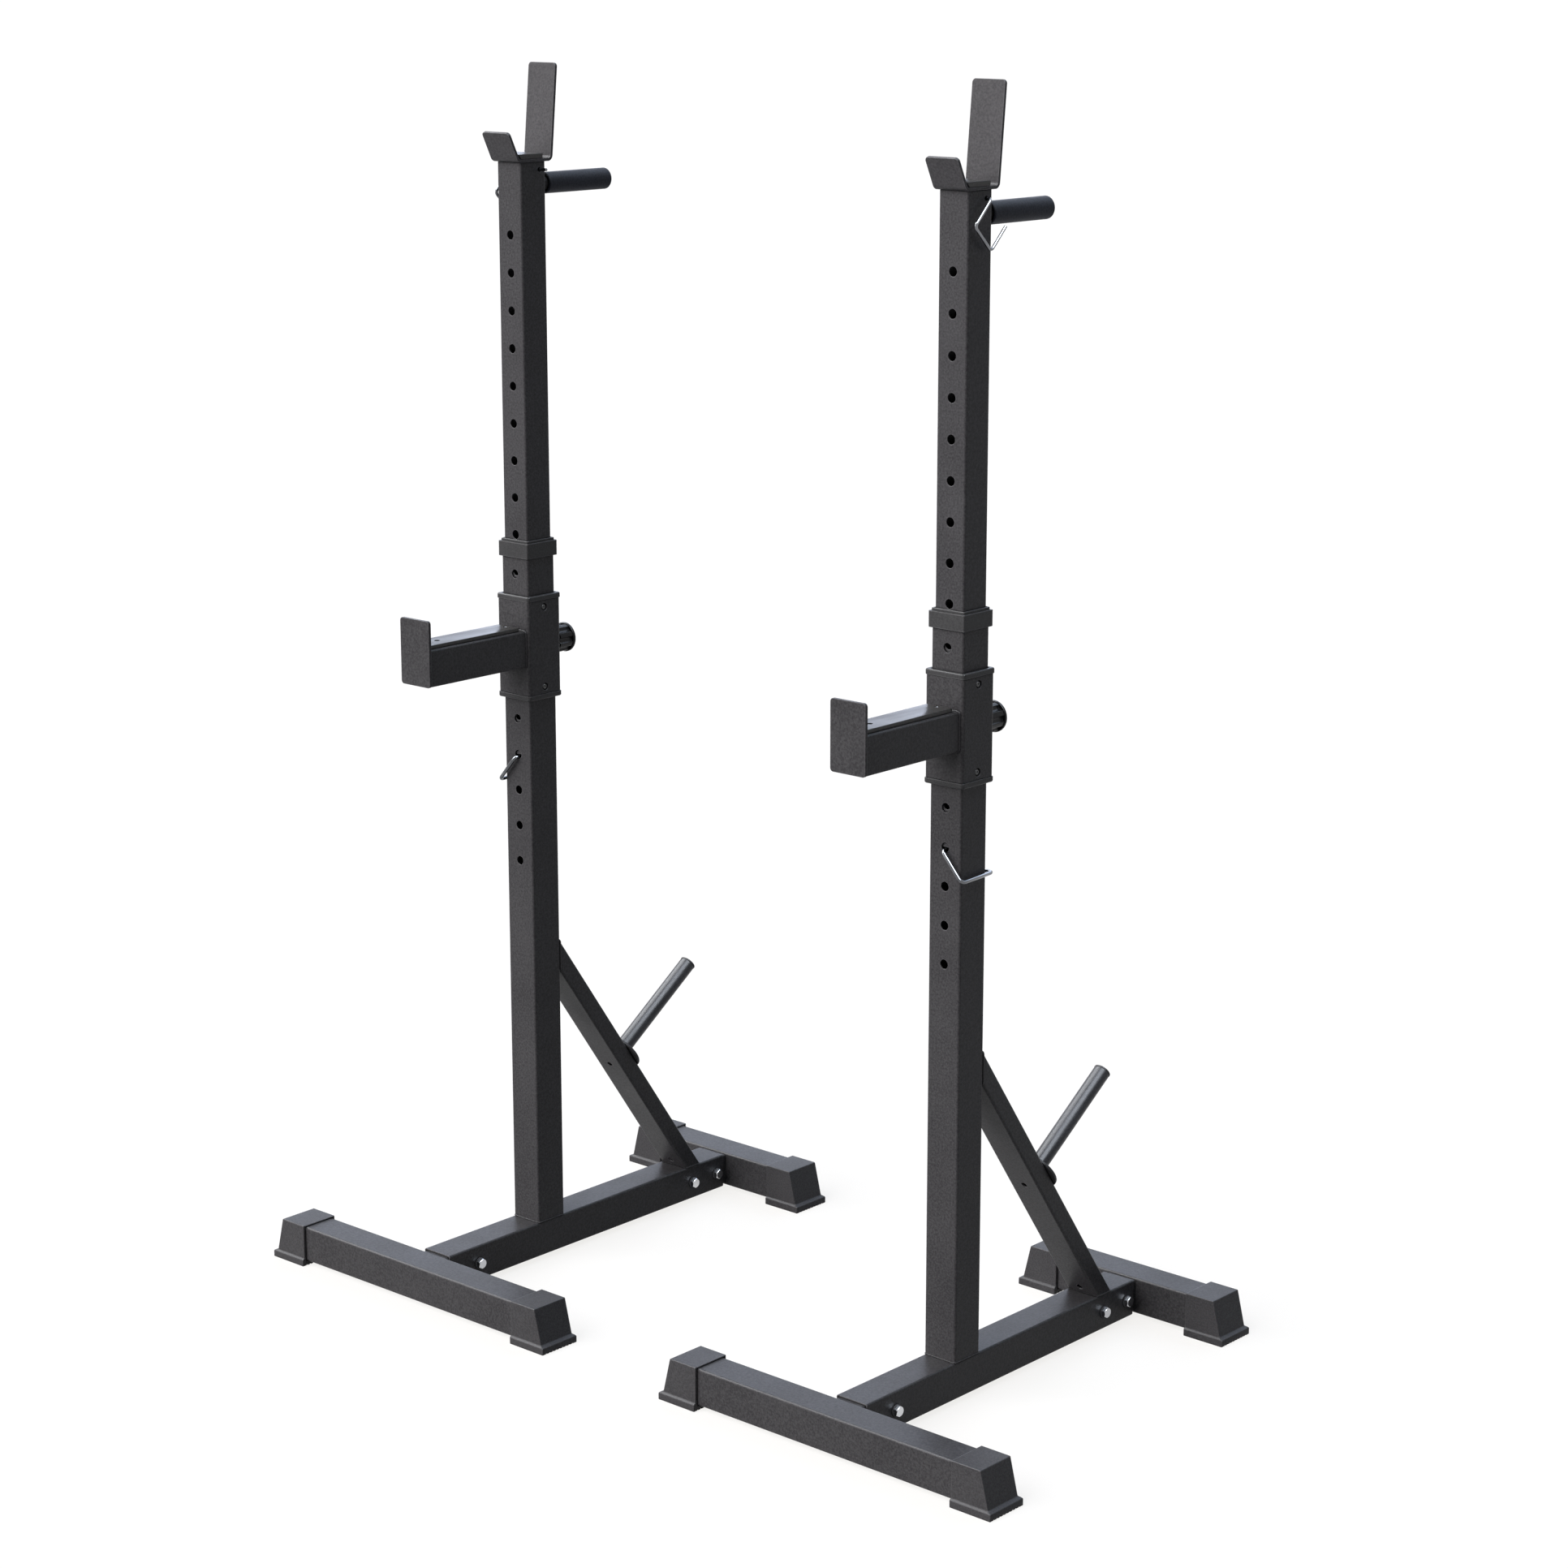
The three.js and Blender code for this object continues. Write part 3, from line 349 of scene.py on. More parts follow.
def coated(name, dark, light, roughness, grains, bump, specular, edge=0.0):
    """A black coating or plastic with a fine grain. Its shade and gloss drift a little."""
    material = bpy.data.materials.new(name)
    material.use_nodes = True
    nodes, links = material.node_tree.nodes, material.node_tree.links
    surface = nodes["Principled BSDF"]
    surface.inputs["Specular IOR Level"].default_value = specular
    # Painted shade: the colour is darkened in narrow gaps and inner corners, and the gloss dulled
    # there.
    crevice_shade = grouped(nodes, painted_crevice_shade)
    grain = grouped(nodes, fine_grain)
    grain.inputs["Grains per metre"].default_value = grains
    drift = nodes.new("ShaderNodeMath")
    drift.operation = "MULTIPLY"
    drift.inputs[1].default_value = 0.2
    links.new(grain.outputs["Cloud"], drift.inputs[0])
    speck = nodes.new("ShaderNodeMath")
    speck.operation = "MULTIPLY_ADD"
    speck.inputs[1].default_value = 0.8
    links.new(grain.outputs["Height"], speck.inputs[0])
    links.new(drift.outputs[0], speck.inputs[2])
    shaded = nodes.new("ShaderNodeVectorMath")
    shaded.operation = "SCALE"
    links.new(two_tones(nodes, links, speck.outputs[0], dark, light, 0.36, 0.64), shaded.inputs[0])
    links.new(crevice_shade.outputs["Open"], shaded.inputs["Scale"])
    colour = shaded
    # edge is the strength of a painted highlight, a lighter colour along outer edges.
    if edge:
        highlit = nodes.new("ShaderNodeVectorMath")
        highlit.operation = "SCALE"
        highlit.inputs[0].default_value = (edge, edge, edge * 1.03)
        links.new(grouped(nodes, painted_edge_highlight).outputs["Edge"], highlit.inputs["Scale"])
        colour = nodes.new("ShaderNodeVectorMath")
        links.new(shaded.outputs[0], colour.inputs[0])
        links.new(highlit.outputs[0], colour.inputs[1])
    links.new(colour.outputs[0], surface.inputs["Base Color"])
    gloss = ranged(nodes, links, grain.outputs["Cloud"], 0.3, 0.7,
                   roughness - 0.05, roughness + 0.05)
    dulled = nodes.new("ShaderNodeMix")
    dulled.inputs["A"].default_value = 1
    links.new(crevice_shade.outputs["Open"], dulled.inputs["Factor"])
    links.new(gloss, dulled.inputs["B"])
    links.new(dulled.outputs["Result"], surface.inputs["Roughness"])
    in_relief(nodes, links, surface, grain.outputs["Height"], bump, 0.0003)
    return material


coat_tones = (0.026, 0.025, 0.027), (0.053, 0.052, 0.054)
powder_coat = coated("powder coat", *coat_tones, 0.42, 360, 0.45, 0.10, 0.06)
weld_coat = coated("weld coat", *coat_tones, 0.42, 360, 0.45, 0.10)

for name, node, half_length, middle, side in (
    ("front_bar", "front_cross_bar", 0.250, -0.229, 1),
    ("rear_bar", "rear_cross_bar", 0.150, 0.3895, -1),
):
    bar = tube(name, (-half_length, middle - tube_half, bar_bottom),
               (half_length, middle + tube_half, bar_top), 0)
    ends = sorted((middle + side * 0.0251, middle + side * 0.1185))
    stub = tube("stub", (-0.0225, ends[0], 0.0095), (0.0225, ends[1], 0.0545), 1)
    on_both_stands(eased(as_one([bar, stub]), 0.0004), "base", powder_coat,
                   node)

# Beam: the same tube, from the front cross bar to the rear one, open at both ends.
# The stubs of the cross bars sit inside it.
beam = tube("beam", (-tube_half, -0.1965, bar_bottom), (tube_half, 0.357, bar_top), 1)
on_both_stands(eased(beam, 0.0004), "base", powder_coat, "base_beam")

# Bolts: zinc plated M8 hexagon bolts through beam and stub, with a black washer under the head
# and under the nut. The head is on +X of both stands, its corners turned down to a chamfer.
bolt_level = 0.032
bolt_head, bolt_head_radius = 0.0324, 0.0075
washer_inner, washer_outer, washer_radius = 0.0253, 0.0269, 0.0080


def rod(name, start, end, radius, sides=48):
    """A round bar from one point to another."""
    start, end = Vector(start), Vector(end)
    turn = (end - start).to_track_quat("Z", "Y").to_euler()
    bpy.ops.mesh.primitive_cylinder_add(vertices=sides, radius=radius, depth=(end - start).length,
                                        location=(start + end) / 2, rotation=turn)
    bpy.ops.object.transform_apply(location=True, rotation=True, scale=True)
    bpy.context.object.name = name
    return bpy.context.object


def carved(piece, tool, operation="DIFFERENCE"):
    """Cuts a tool's shape out of a piece, or keeps only what lies in it. The tool is used up."""
    worked(piece, "BOOLEAN", operation=operation, object=tool, solver="EXACT")
    bpy.data.objects.remove(tool)
    return piece


def bolt_rod(name, y, start, end, radius, sides=48):
    """A round or hexagonal length of a bolt that runs along X."""
    return rod(name, (start, y, bolt_level), (end, y, bolt_level), radius, sides)


def zinc_plate(name, dark, light):
    """Zinc plate whose shade and gloss drift a little."""
    material = bpy.data.materials.new(name)
    material.use_nodes = True
    nodes, links = material.node_tree.nodes, material.node_tree.links
    surface = nodes["Principled BSDF"]
    surface.inputs["Metallic"].default_value = 1
    grain = grouped(nodes, fine_grain)
    grain.inputs["Grains per metre"].default_value = 1500
    links.new(two_tones(nodes, links, grain.outputs["Cloud"], dark, light, 0.35, 0.65),
              surface.inputs["Base Color"])
    links.new(ranged(nodes, links, grain.outputs["Height"], 0.0, 1.0, 0.06, 0.18),
              surface.inputs["Roughness"])
    in_relief(nodes, links, surface, grain.outputs["Height"], 0.06, 0.0002)
    return material


# Zinc plate painted lighter as a painted highlight, for the bolts and screws.
zinc_painted_lighter = zinc_plate("bright zinc", (0.36, 0.37, 0.39), (0.62, 0.63, 0.65))

for name, y in (("front_bolt", -0.141), ("rear_bolt_1", 0.291), ("rear_bolt_2", 0.342)):
    head = bolt_rod("head", y, washer_outer, bolt_head, bolt_head_radius, 6)
    dome = bolt_rod("dome", y, 0.0260, bolt_head, bolt_head_radius)
    bevelled(dome, "EDGE", level(0, bolt_head), 0.0013, 1)
    carved(head, dome, "INTERSECT")
    eased(head, 0.0002, 2, 25)
    nut = eased(bolt_rod("nut", y, -0.0334, -washer_outer, bolt_head_radius, 6), 0.0007, 2)
    shank = eased(bolt_rod("shank", y, -0.0364, 0.0270, 0.0040, 32), 0.0006, 2)
    shank.name = name + "_steel"
    on_both_stands(as_one([shank, head, nut]), "base", zinc_painted_lighter, name)
    washers = [bolt_rod(name + "_washers", y, washer_inner, washer_outer, washer_radius),
               bolt_rod("far", y, -washer_outer, -washer_inner, washer_radius)]
    on_both_stands(eased(as_one(washers), 0.0003, 2), "base", powder_coat)

# Feet: moulded black plastic caps on the ends of the cross bars. The outer face leans out on its
# way down to a ledge round a wider sole, whose underside is grooved so that the end shows teeth.
foot_plastic = coated("foot plastic", (0.032, 0.031, 0.033), (0.055, 0.054, 0.056),
                      0.46, 460, 0.30, 0.10, 0.06)


def foot(name, end, y, outward):
    """One foot on the bar end at x = end, whose outer face looks towards outward."""
    inner, tip, slope, ledge = -0.0418, 0.0028, 0.012, 0.003
    half_width, sole_top, shoulder, height = 0.032, 0.0095, 0.0115, 0.048
    groove_pitch, groove_half, groove_depth = 0.006, 0.0013, 0.0022

    def across(x):
        return end + outward * x

    def on_outer_face(at):
        return at[0].z > 0.05 and abs(at[0].x - across(inner)) > 0.004

    sole = sorted((across(inner), across(tip + slope + 0.006)))
    piece = blank(name, (sole[0], y - half_width, 0), (sole[1], y + half_width, sole_top))
    choose(piece, "FACE", level(2, sole_top))
    bpy.ops.mesh.inset(thickness=ledge)
    bpy.ops.transform.translate(value=(0, 0, shoulder - sole_top))
    leave()
    shifted(piece, "VERT", lambda at: at[0].z > 0.010, (-outward * ledge, 0, 0))
    choose(piece, "FACE", level(2, shoulder))
    bpy.ops.mesh.extrude_region_move(TRANSFORM_OT_translate={"value": (0, 0, height)})
    leave()
    shifted(piece, "VERT", on_outer_face, (-outward * slope, 0, 0))
    eased(piece, 0.0011, 3, 25)
    pocket = sorted((across(inner - 0.01), across(fit_gap)))
    space = blank("pocket", (pocket[0], y - tube_half - fit_gap, bar_bottom - fit_gap),
                  (pocket[1], y + tube_half + fit_gap, bar_top + fit_gap))
    bevelled(space, "EDGE", along(0), 0.003, 5)
    carved(piece, space)
    mouth = sorted((across(inner - 0.01), across(inner + 0.0012)))
    carved(piece, blank("mouth", (mouth[0], y - 0.0262, 0.0058), (mouth[1], y + 0.0262, 0.0582)))
    grooves = []
    for step in range(-4, 5):
        middle = y + step * groove_pitch
        grooves.append(blank("groove", (across(0) - 0.06, middle - groove_half, -groove_depth),
                             (across(0) + 0.06, middle + groove_half, groove_depth)))
    return carved(piece, as_one(grooves))


for name, end, y, outward in (
    ("front_foot_left", -0.250, -0.229, -1),
    ("front_foot_right", 0.250, -0.229, 1),
    ("rear_foot_left", -0.150, 0.3895, -1),
    ("rear_foot_right", 0.150, 0.3895, 1),
):
    on_both_stands(foot(name + "_cap", end, y, outward), "base",
                   foot_plastic, name)

# Upright: 50 mm square tube welded on the beam, with nine 12 mm holes 50 mm apart through its
# front and rear walls. A thin weld runs round its foot.
hole_pitch, hole_radius = 0.050, 0.006


def holes_down(top, count):
    """Drills for a row of holes through the front and rear walls, from the top one down."""
    return as_one([
        rod("drill", (0, -0.04, top - step * hole_pitch), (0, 0.04, top - step * hole_pitch),
            hole_radius, 40)
        for step in range(count)
    ])


def bent_wire(name, route, thickness, bend, closed=False, rounds=3):
    """A round wire along a route, bent at each corner."""
    mesh = bpy.data.meshes.new(name)
    links = [(i, i + 1) for i in range(len(route) - 1)]
    if closed:
        links.append((len(route) - 1, 0))
    mesh.from_pydata([Vector(point) for point in route], links, [])
    piece = bpy.data.objects.new(name, mesh)
    scene.collection.objects.link(piece)
    corners = route if closed else route[1:-1]
    bevelled(piece, "VERT", lambda at: any((at[0] - Vector(corner)).length < 1e-5
                                           for corner in corners), bend, 8)
    bpy.ops.object.convert(target="CURVE")
    piece.data.bevel_depth = thickness / 2
    piece.data.bevel_resolution = rounds
    piece.data.use_fill_caps = True
    bpy.ops.object.convert(target="MESH")
    choose(piece, "VERT", lambda at: True)
    bpy.ops.mesh.remove_doubles(threshold=1e-6)
    bpy.ops.mesh.normals_make_consistent(inside=False)
    leave()
    bpy.ops.object.shade_smooth_by_angle(angle=math.radians(45))
    return piece


def weld_round(name, body, low, high, thickness=0.0018, bend=0.003):
    """A weld bead round the rectangle between two opposite corners."""
    route = [low, (high[0], low[1], low[2]), high, (low[0], high[1], high[2])]
    on_both_stands(bent_wire(name, route, thickness, bend, True), body,
                   weld_coat)


weld_level = 0.0576
upright = tube("upright", (-tube_half, -tube_half, 0.0573), (tube_half, tube_half, 1.020), 2)
carved(upright, holes_down(0.981, 9))
on_both_stands(eased(upright, 0.0006), "base", powder_coat, "outer_post")
weld_round("upright_weld", "base", (-tube_half, -tube_half, weld_level),
           (tube_half, tube_half, weld_level))

# Collar: a moulded plastic cap pushed over the upright's mouth, with a raised lip that guides the
# inner post.


def square_ring(name, section, corner):
    """A square ring with round corners. Its section is a row of half widths and heights."""
    half, height = section[0]
    bpy.ops.mesh.primitive_plane_add(size=2 * half, location=(0, 0, height))
    bpy.ops.object.transform_apply(location=True, rotation=True, scale=True)
    ring = bpy.context.object
    ring.name = name
    choose(ring, "VERT", lambda at: True)
    bpy.ops.mesh.bevel(offset=corner, segments=5, affect="VERTICES")
    bpy.ops.mesh.select_all(action="SELECT")
    bpy.ops.mesh.delete(type="ONLY_FACE")
    bpy.ops.mesh.select_mode(type="EDGE")
    bpy.ops.mesh.select_all(action="SELECT")
    for next_half, next_height in section[1:]:
        rise = (0, 0, next_height - height)
        bpy.ops.mesh.extrude_edges_move(TRANSFORM_OT_translate={"value": rise})
        spread = next_half / half
        bpy.ops.transform.resize(value=(spread, spread, 1), center_override=(0, 0, 0))
        half, height = next_half, next_height
    bpy.ops.mesh.select_all(action="DESELECT")
    bpy.ops.mesh.select_non_manifold()
    bpy.ops.mesh.bridge_edge_loops()
    bpy.ops.mesh.select_all(action="SELECT")
    bpy.ops.mesh.normals_make_consistent(inside=False)
    leave()
    return ring


def rounded_brim(ring, height, beyond, radius):
    """Rounds a square ring's outer edge at this height."""
    def outer(ends):
        return level(2, height)(ends) and all(max(abs(p.x), abs(p.y)) > beyond for p in ends)
    bevelled(ring, "EDGE", outer, radius, 4)


collar = square_ring("guide_collar", (
    (0.0253, 1.004), (0.0282, 1.004), (0.0282, 1.0245), (0.0255, 1.0245), (0.0255, 1.028),
    (0.0237, 1.028), (0.0237, 1.0262), (0.0228, 1.0262), (0.0228, 1.0203), (0.0253, 1.0203),
), 0.0018)
rounded_brim(collar, 1.028, 0.0243, 0.0009)
eased(collar, 0.0005, 2, 50)
collar_plastic = coated("collar plastic", (0.030, 0.030, 0.031), (0.046, 0.046, 0.047),
                        0.38, 520, 0.15, 0.12, 0.07)
on_both_stands(collar, "base", collar_plastic, "post_collar")

# Rear brace: 50 x 25 mm tube that leans 35 degrees from the beam to the back of the upright, cut
# flush at both ends and welded. It has a small hole at the peg and one near its foot.
brace_lean = Matrix.Rotation(math.radians(35), 4, "X")
brace_place = Matrix.Translation((0, 0.277, bar_top)) @ brace_lean
peg_level = 0.229
brace_hole = 0.0045
brace_back = 0.0256
brace = tube("brace", (-tube_half, 0, -0.06), (tube_half, 0.025, 0.55), 2)
carved(brace, rod("drill", (0, -0.01, peg_level), (0, 0.04, peg_level), brace_hole, 32))
carved(brace, rod("drill", (0, -0.01, 0.012), (0, 0.012, 0.012), brace_hole, 32))
brace.data.transform(brace_place)
carved(brace, blank("room", (-0.04, 0.0253, 0.0573), (0.04, 0.45, 0.60)), "INTERSECT")
on_both_stands(eased(brace, 0.0003), "base", powder_coat, "rear_brace")
weld_round("brace_top_weld", "base", (-tube_half, brace_back, 0.4169),
           (tube_half, brace_back, 0.4605))
weld_round("brace_foot_weld", "base", (-tube_half, 0.277, weld_level),
           (tube_half, 0.3075, weld_level))

# Plate peg: a 23 mm tube welded square on the brace, with a plastic flange at its root that
# keeps plates off the paint and a plastic cap on its end.
peg_root, peg_end = 0.0253, 0.1987
cap_start, cap_end = 0.1990, 0.2010
peg_coat = coated("peg coat", (0.028, 0.029, 0.033), (0.050, 0.052, 0.060), 0.34, 360, 0.25, 0.18)
peg = eased(rod("peg", (0, peg_root, peg_level), (0, peg_end, peg_level), 0.0115, 64), 0.0004, 2)
peg.data.transform(brace_place)
on_both_stands(peg, "base", peg_coat, "plate_peg")
flange = rod("peg_root_disc", (0, peg_root, peg_level), (0, 0.0293, peg_level), 0.032, 64)
carved(flange, rod("bore", (0, 0, peg_level), (0, 0.05, peg_level), 0.0118, 64))
eased(flange, 0.0012)
flange.data.transform(brace_place)
on_both_stands(flange, "base", foot_plastic, "peg_flange")
cap = rod("peg_end_cap", (0, cap_start, peg_level), (0, cap_end, peg_level), 0.0118, 64)
choose(cap, "FACE", level(1, cap_end))
bpy.ops.mesh.inset(thickness=0.0022)
bpy.ops.mesh.inset(thickness=0.0006, depth=-0.0006)
leave()
eased(cap, 0.0005)
cap.data.transform(brace_place)
on_both_stands(cap, "base", collar_plastic, "peg_cap")

# Inner post: 45 mm tube that slides in the upright, with fourteen holes to match and one across
# its top for the fork's pin.
mast_half = 0.0225
pin_back, pin_level = 0.0115, 1.5196
inner_post = tube("telescope_post", (-mast_half, -mast_half, 0.7306),
                  (mast_half, mast_half, 1.5296), 2)
carved(inner_post, holes_down(1.4346, 14))
carved(inner_post, rod("drill", (-0.04, pin_back, pin_level), (0.04, pin_back, pin_level),
                       0.00325, 32))
# The same powder coat, painted a little lighter as painted light, for the brighter light the inner
# post gets.
mast_coat_painted_lighter = coated("mast coat", (0.029, 0.028, 0.030), (0.058, 0.057, 0.060),
                   0.42, 360, 0.45, 0.10, 0.06)
on_both_stands(eased(inner_post, 0.0006), "mast", mast_coat_painted_lighter, "inner_post")

# Fork: a 4 mm flat bar bent into a long rear leg and a short front leg that leans out, with round
# corners, welded on a short tube that drops into the inner post.
fork_seat, fork_thickness = 1.5299, 0.004
front_bend, rear_bend = -0.029, 0.0333
short_leg, tall_leg = 0.0385, 0.1265
fork = blank("fork_sheet", (-tube_half, front_bend, fork_seat),
             (tube_half, rear_bend, fork_seat + fork_thickness))
choose(fork, "FACE", lambda corners: not level(2, fork_seat)(corners))
bpy.ops.mesh.delete(type="FACE")
leave()
for place, leg in ((rear_bend, (0, 0.01174, tall_leg)), (front_bend, (0, -0.01845, short_leg))):
    choose(fork, "EDGE", level(1, place))
    bpy.ops.mesh.extrude_edges_move(TRANSFORM_OT_translate={"value": leg})
    leave()
bevelled(fork, "EDGE", level(1, rear_bend), 0.0073, 8)
bevelled(fork, "EDGE", level(1, front_bend), 0.0050, 8)
tips = (fork_seat + tall_leg, fork_seat + short_leg)
choose(fork, "VERT", lambda at: any(abs(at[0].z - tip) < 1e-5 for tip in tips))
bpy.ops.mesh.bevel(offset=0.005, segments=6, affect="VERTICES")
bpy.ops.mesh.select_all(action="SELECT")
bpy.ops.mesh.normals_make_consistent(inside=False)
leave()
upward = any(face.normal.z > 0.9 for face in fork.data.polygons)
worked(fork, "SOLIDIFY", thickness=fork_thickness, offset=1 if upward else -1,
       use_even_offset=True)
eased(fork, 0.0005, 2, 60)
stem = tube("stem", (-0.020, -0.020, 1.4899), (0.020, 0.020, fork_seat - 0.00005), 2)
eased(stem, 0.0003)
carved(stem, rod("drill", (-0.04, pin_back, pin_level), (0.04, pin_back, pin_level), 0.0024, 24))
# The same powder coat, painted lighter as painted light, for the light the fork's faces catch.
fork_coat_painted_lighter = coated("fork coat", (0.040, 0.039, 0.041), (0.072, 0.070, 0.074),
                   0.42, 360, 0.45, 0.10, 0.06)
on_both_stands(as_one([fork, stem]), "mast", fork_coat_painted_lighter, "bar_fork")

# Fork pad: a hard plastic strip on the fork's floor that keeps the barbell off the paint, its front
# end sloped along the leg, held by one sunk screw.
wear_plastic = coated("wear plastic", (0.026, 0.025, 0.024), (0.042, 0.041, 0.040),
                      0.34, 420, 0.12, 0.19)
screw_black = coated("screw black", (0.030, 0.030, 0.032), (0.050, 0.050, 0.052),
                     0.22, 900, 0.1, 0.45)


def sunk_screw(name, at, radius, depth):
    """A button head screw with a hexagon socket, seen from above."""
    x, y, z = at
    head = rod(name, (x, y, z - depth), (x, y, z), radius, 40)
    bevelled(head, "EDGE", level(2, z), depth * 0.7, 4)
    carved(head, rod("socket", (x, y, z - depth * 0.6), (x, y, z + depth), radius * 0.42, 6))
    return eased(head, 0.0001, 1, 60)


pad_front, pad_top, screw_y = -0.02366, 1.5407, 0.008
fork_pad = blank("fork_wear_pad", (-tube_half, pad_front, 1.5342), (tube_half, 0.016, pad_top))
shifted(fork_pad, "EDGE", lambda ends: level(2, pad_top)(ends) and level(1, pad_front)(ends),
        (0, -0.00548, 0))
eased(fork_pad, 0.0009)
carved(fork_pad, rod("sink", (0, screw_y, 1.5374), (0, screw_y, 1.55), 0.004, 40))
on_both_stands(fork_pad, "mast", wear_plastic, "fork_pad")
on_both_stands(sunk_screw("fork_pad_screw", (0, screw_y, 1.5398), 0.0037, 0.0022), "mast",
               zinc_painted_lighter)

# Handle: a round neck welded to the back of the inner post, with a satin plastic grip tube pushed
# over it, open at the near end and rounded off at the far one.
handle_level = 1.4996
neck_radius, bead_radius = 0.0095, 0.0098
neck = rod("handle_neck", (0, 0.0228, handle_level), (0, 0.1522, handle_level), neck_radius, 48)
on_both_stands(eased(neck, 0.0004, 2), "mast", powder_coat, "handle_rod")
bead = [(bead_radius * math.cos(math.radians(turn)), 0.0231,
         handle_level + bead_radius * math.sin(math.radians(turn))) for turn in range(0, 360, 30)]
on_both_stands(bent_wire("handle_weld", bead, 0.0022, 0.002, True), "mast",
               weld_coat)
grip = rod("grip_tube", (0, 0.0395, handle_level), (0, 0.1565, handle_level), 0.01425, 72)
eased(grip, 0.0022, 4)
carved(grip, rod("bore", (0, 0.02, handle_level), (0, 0.1525, handle_level), bead_radius, 64))
carved(grip, rod("mouth", (0, 0.02, handle_level), (0, 0.0485, handle_level), 0.0120, 64))
grip_plastic = coated("grip plastic", (0.019, 0.021, 0.028), (0.032, 0.036, 0.048),
                      0.52, 420, 0.2, 0.07)
on_both_stands(grip, "mast", grip_plastic, "handle_grip")

# Fork pin: 4 mm zinc plated wire through the inner post and the fork's stem. Its loop is three
# sides of a square that hangs on its corner beside the post.
# The same zinc plate painted darker, as painted shade and dark reflections along the wires.
zinc_painted_darker = zinc_plate("zinc on darkened wire", (0.09, 0.093, 0.10), (0.20, 0.207, 0.22))
fork_pin = bent_wire("fork_pin_wire", [
    (-0.0355, pin_back, pin_level),
    (0.0300, pin_back, pin_level),
    (0.0300, -0.01926, 1.48884),
    (0.0300, pin_back, 1.45808),
    (0.0300, 0.03908, 1.48566),
], 0.0040, 0.0055, rounds=5)
on_both_stands(fork_pin, "fork_pin_body", zinc_painted_darker, "fork_pin", mirrored=True)

# Lock pin: 5 mm zinc plated wire that carries the inner post. Outside it drops along the front,
# clips round the side of the upright and hooks behind it.
lock_pin = bent_wire("lock_pin_wire", [
    (0, 0.0360, 0.7278),
    (0, -0.0310, 0.7278),
    (0.0310, -0.0310, 0.6918),
    (0.0310, 0.0310, 0.6938),
    (0.0180, 0.0310, 0.6938),
], 0.0050, 0.0065, rounds=5)
on_both_stands(lock_pin, "lock_pin_body", zinc_painted_darker, "lock_pin", mirrored=True)

# Arm sleeve: 60 mm tube that slides on the upright, with a boss for the knob welded behind and
# two sunk screws on +X that hold the bushes.
arm_axis = 0.881
bush_screws = (("low_bush_screw", arm_axis - 0.055), ("high_bush_screw", arm_axis + 0.055))
sleeve = tube("sleeve", (-0.030, -0.030, 0.81655), (0.030, 0.030, 0.94545), 2, 0.0025, 0.004)
for name, z in bush_screws:
    carved(sleeve, rod("drill", (0.01, 0, z), (0.04, 0, z), 0.00525, 40))
carved(sleeve, rod("drill", (0, 0.01, arm_axis), (0, 0.05, arm_axis), 0.0043, 40))
eased(sleeve, 0.0007)
boss = rod("boss", (0, 0.0299, arm_axis), (0, 0.041, arm_axis), 0.012, 48)
carved(boss, rod("bore", (0, 0.01, arm_axis), (0, 0.05, arm_axis), 0.0043, 40))
eased(boss, 0.0006)
on_both_stands(as_one([sleeve, boss]), "arm", powder_coat, "arm_sleeve")
for name, z in bush_screws:
    screw = sunk_screw(name, (0, 0, 0), 0.0036, 0.0017)
    sideways = Matrix.Rotation(math.radians(90), 4, "Y")
    screw.data.transform(Matrix.Translation((0.0290, 0, z)) @ sideways)
    on_both_stands(screw, "arm", screw_black)

# Bushes: plastic guides pushed into both ends of the sleeve, each with a rounded rim that
# stands a little proud of it.
for name, node, turn in (("high_bush", "sleeve_top_bush", 0),
                         ("low_bush", "sleeve_bottom_bush", math.pi)):
    bush = square_ring(name, (
        (0.0253, 0.04075), (0.0272, 0.04075), (0.0272, 0.06475), (0.0310, 0.06475),
        (0.0310, 0.07175), (0.0264, 0.07175), (0.0264, 0.0697), (0.0253, 0.0697),
    ), 0.0033)
    rounded_brim(bush, 0.07175, 0.0285, 0.0020)
    eased(bush, 0.0005, 2, 50)
    bush.data.transform(Matrix.Translation((0, 0, arm_axis)) @ Matrix.Rotation(turn, 4, "X"))
    on_both_stands(bush, "arm", collar_plastic, node)

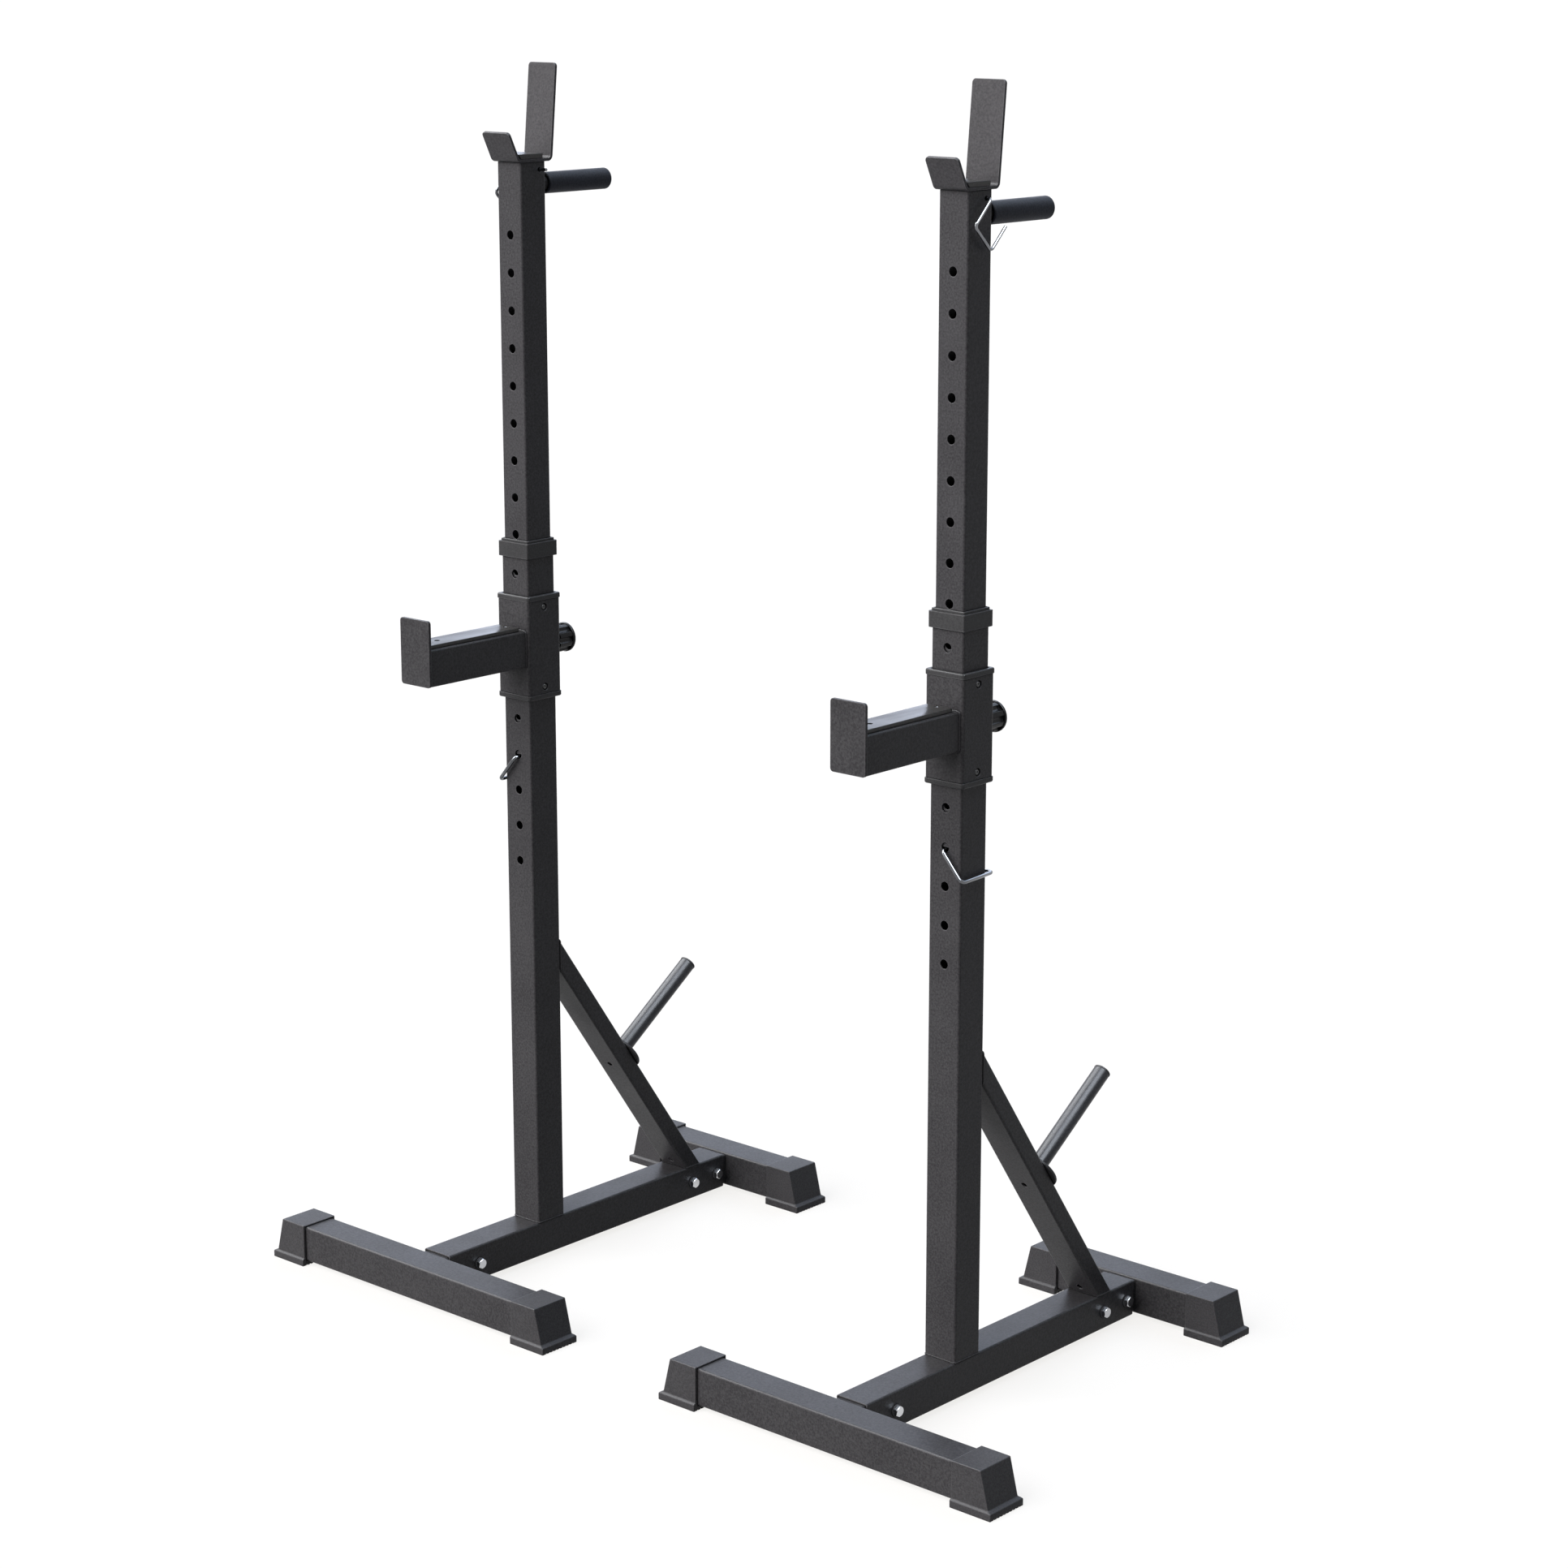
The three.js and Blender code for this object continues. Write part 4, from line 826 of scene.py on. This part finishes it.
# Spotter arm: 50 mm tube welded to the sleeve's front, with a 4.5 mm end plate that stands up as
# a stop.
arm_bottom, arm_top, arm_root = 0.856, 0.906, -0.0306
arm = tube("arm", (-tube_half, -0.2052, arm_bottom), (tube_half, -0.0303, arm_top), 1)
on_both_stands(eased(arm, 0.0003), "arm", powder_coat, "arm_tube")
weld_round("arm_weld", "arm", (-tube_half, arm_root, arm_bottom), (tube_half, arm_root, arm_top),
           0.0030, 0.004)
plate = blank("stop_plate", (-0.0275, -0.2100, arm_bottom), (0.0275, -0.2055, 0.9456))
bevelled(plate, "EDGE", along(1), 0.0045, 6)
on_both_stands(eased(plate, 0.0006), "arm", powder_coat, "arm_end_plate")

# Arm pad: a hard plastic strip on top of the arm with round corners. Two screws in sunk holes hold
# it down, a bright one near the sleeve and a black one near the plate.
near_screw, far_screw = -0.044, -0.170
arm_pad = blank("arm_wear_pad", (-0.020, -0.2052, 0.9063), (0.020, -0.038, 0.9113))
bevelled(arm_pad, "EDGE", along(2), 0.002, 4)
eased(arm_pad, 0.0008)
for y in (near_screw, far_screw):
    carved(arm_pad, rod("sink", (0, y, 0.9088), (0, y, 0.92), 0.004, 40))
on_both_stands(arm_pad, "arm", wear_plastic, "arm_pad")
on_both_stands(sunk_screw("near_pad_screw", (0, near_screw, 0.9110), 0.0039, 0.0018), "arm",
               zinc_painted_lighter)
on_both_stands(sunk_screw("far_pad_screw", (0, far_screw, 0.9100), 0.0037, 0.0014), "arm",
               screw_black)

# Pull knob: glossy black plastic with eight flutes and a round rim, on the steel plunger that
# locks the sleeve.
flutes, flute_circle, flute_radius = 8, 0.0208, 0.0048
gloss_plastic = coated("gloss plastic", (0.006, 0.006, 0.007), (0.010, 0.010, 0.011),
                       0.26, 600, 0.03, 0.13)
knob = rod("knob", (0, 0.042, arm_axis), (0, 0.0652, arm_axis), 0.019, 96)
for step in range(flutes):
    angle = math.tau * step / flutes
    x, z = flute_circle * math.cos(angle), arm_axis + flute_circle * math.sin(angle)
    carved(knob, rod("flute", (x, 0.03, z), (x, 0.08, z), flute_radius, 32))
eased(knob, 0.0007, 3, 35)
rim = eased(rod("rim", (0, 0.065, arm_axis), (0, 0.0695, arm_axis), 0.0203, 96), 0.0014, 4)
plunger = eased(rod("plunger", (0, 0.0253, arm_axis), (0, 0.05, arm_axis), 0.004, 32), 0.0008, 2)
on_both_stands(as_one([knob, rim, plunger]), "knob_body", gloss_plastic,
               "pull_knob")
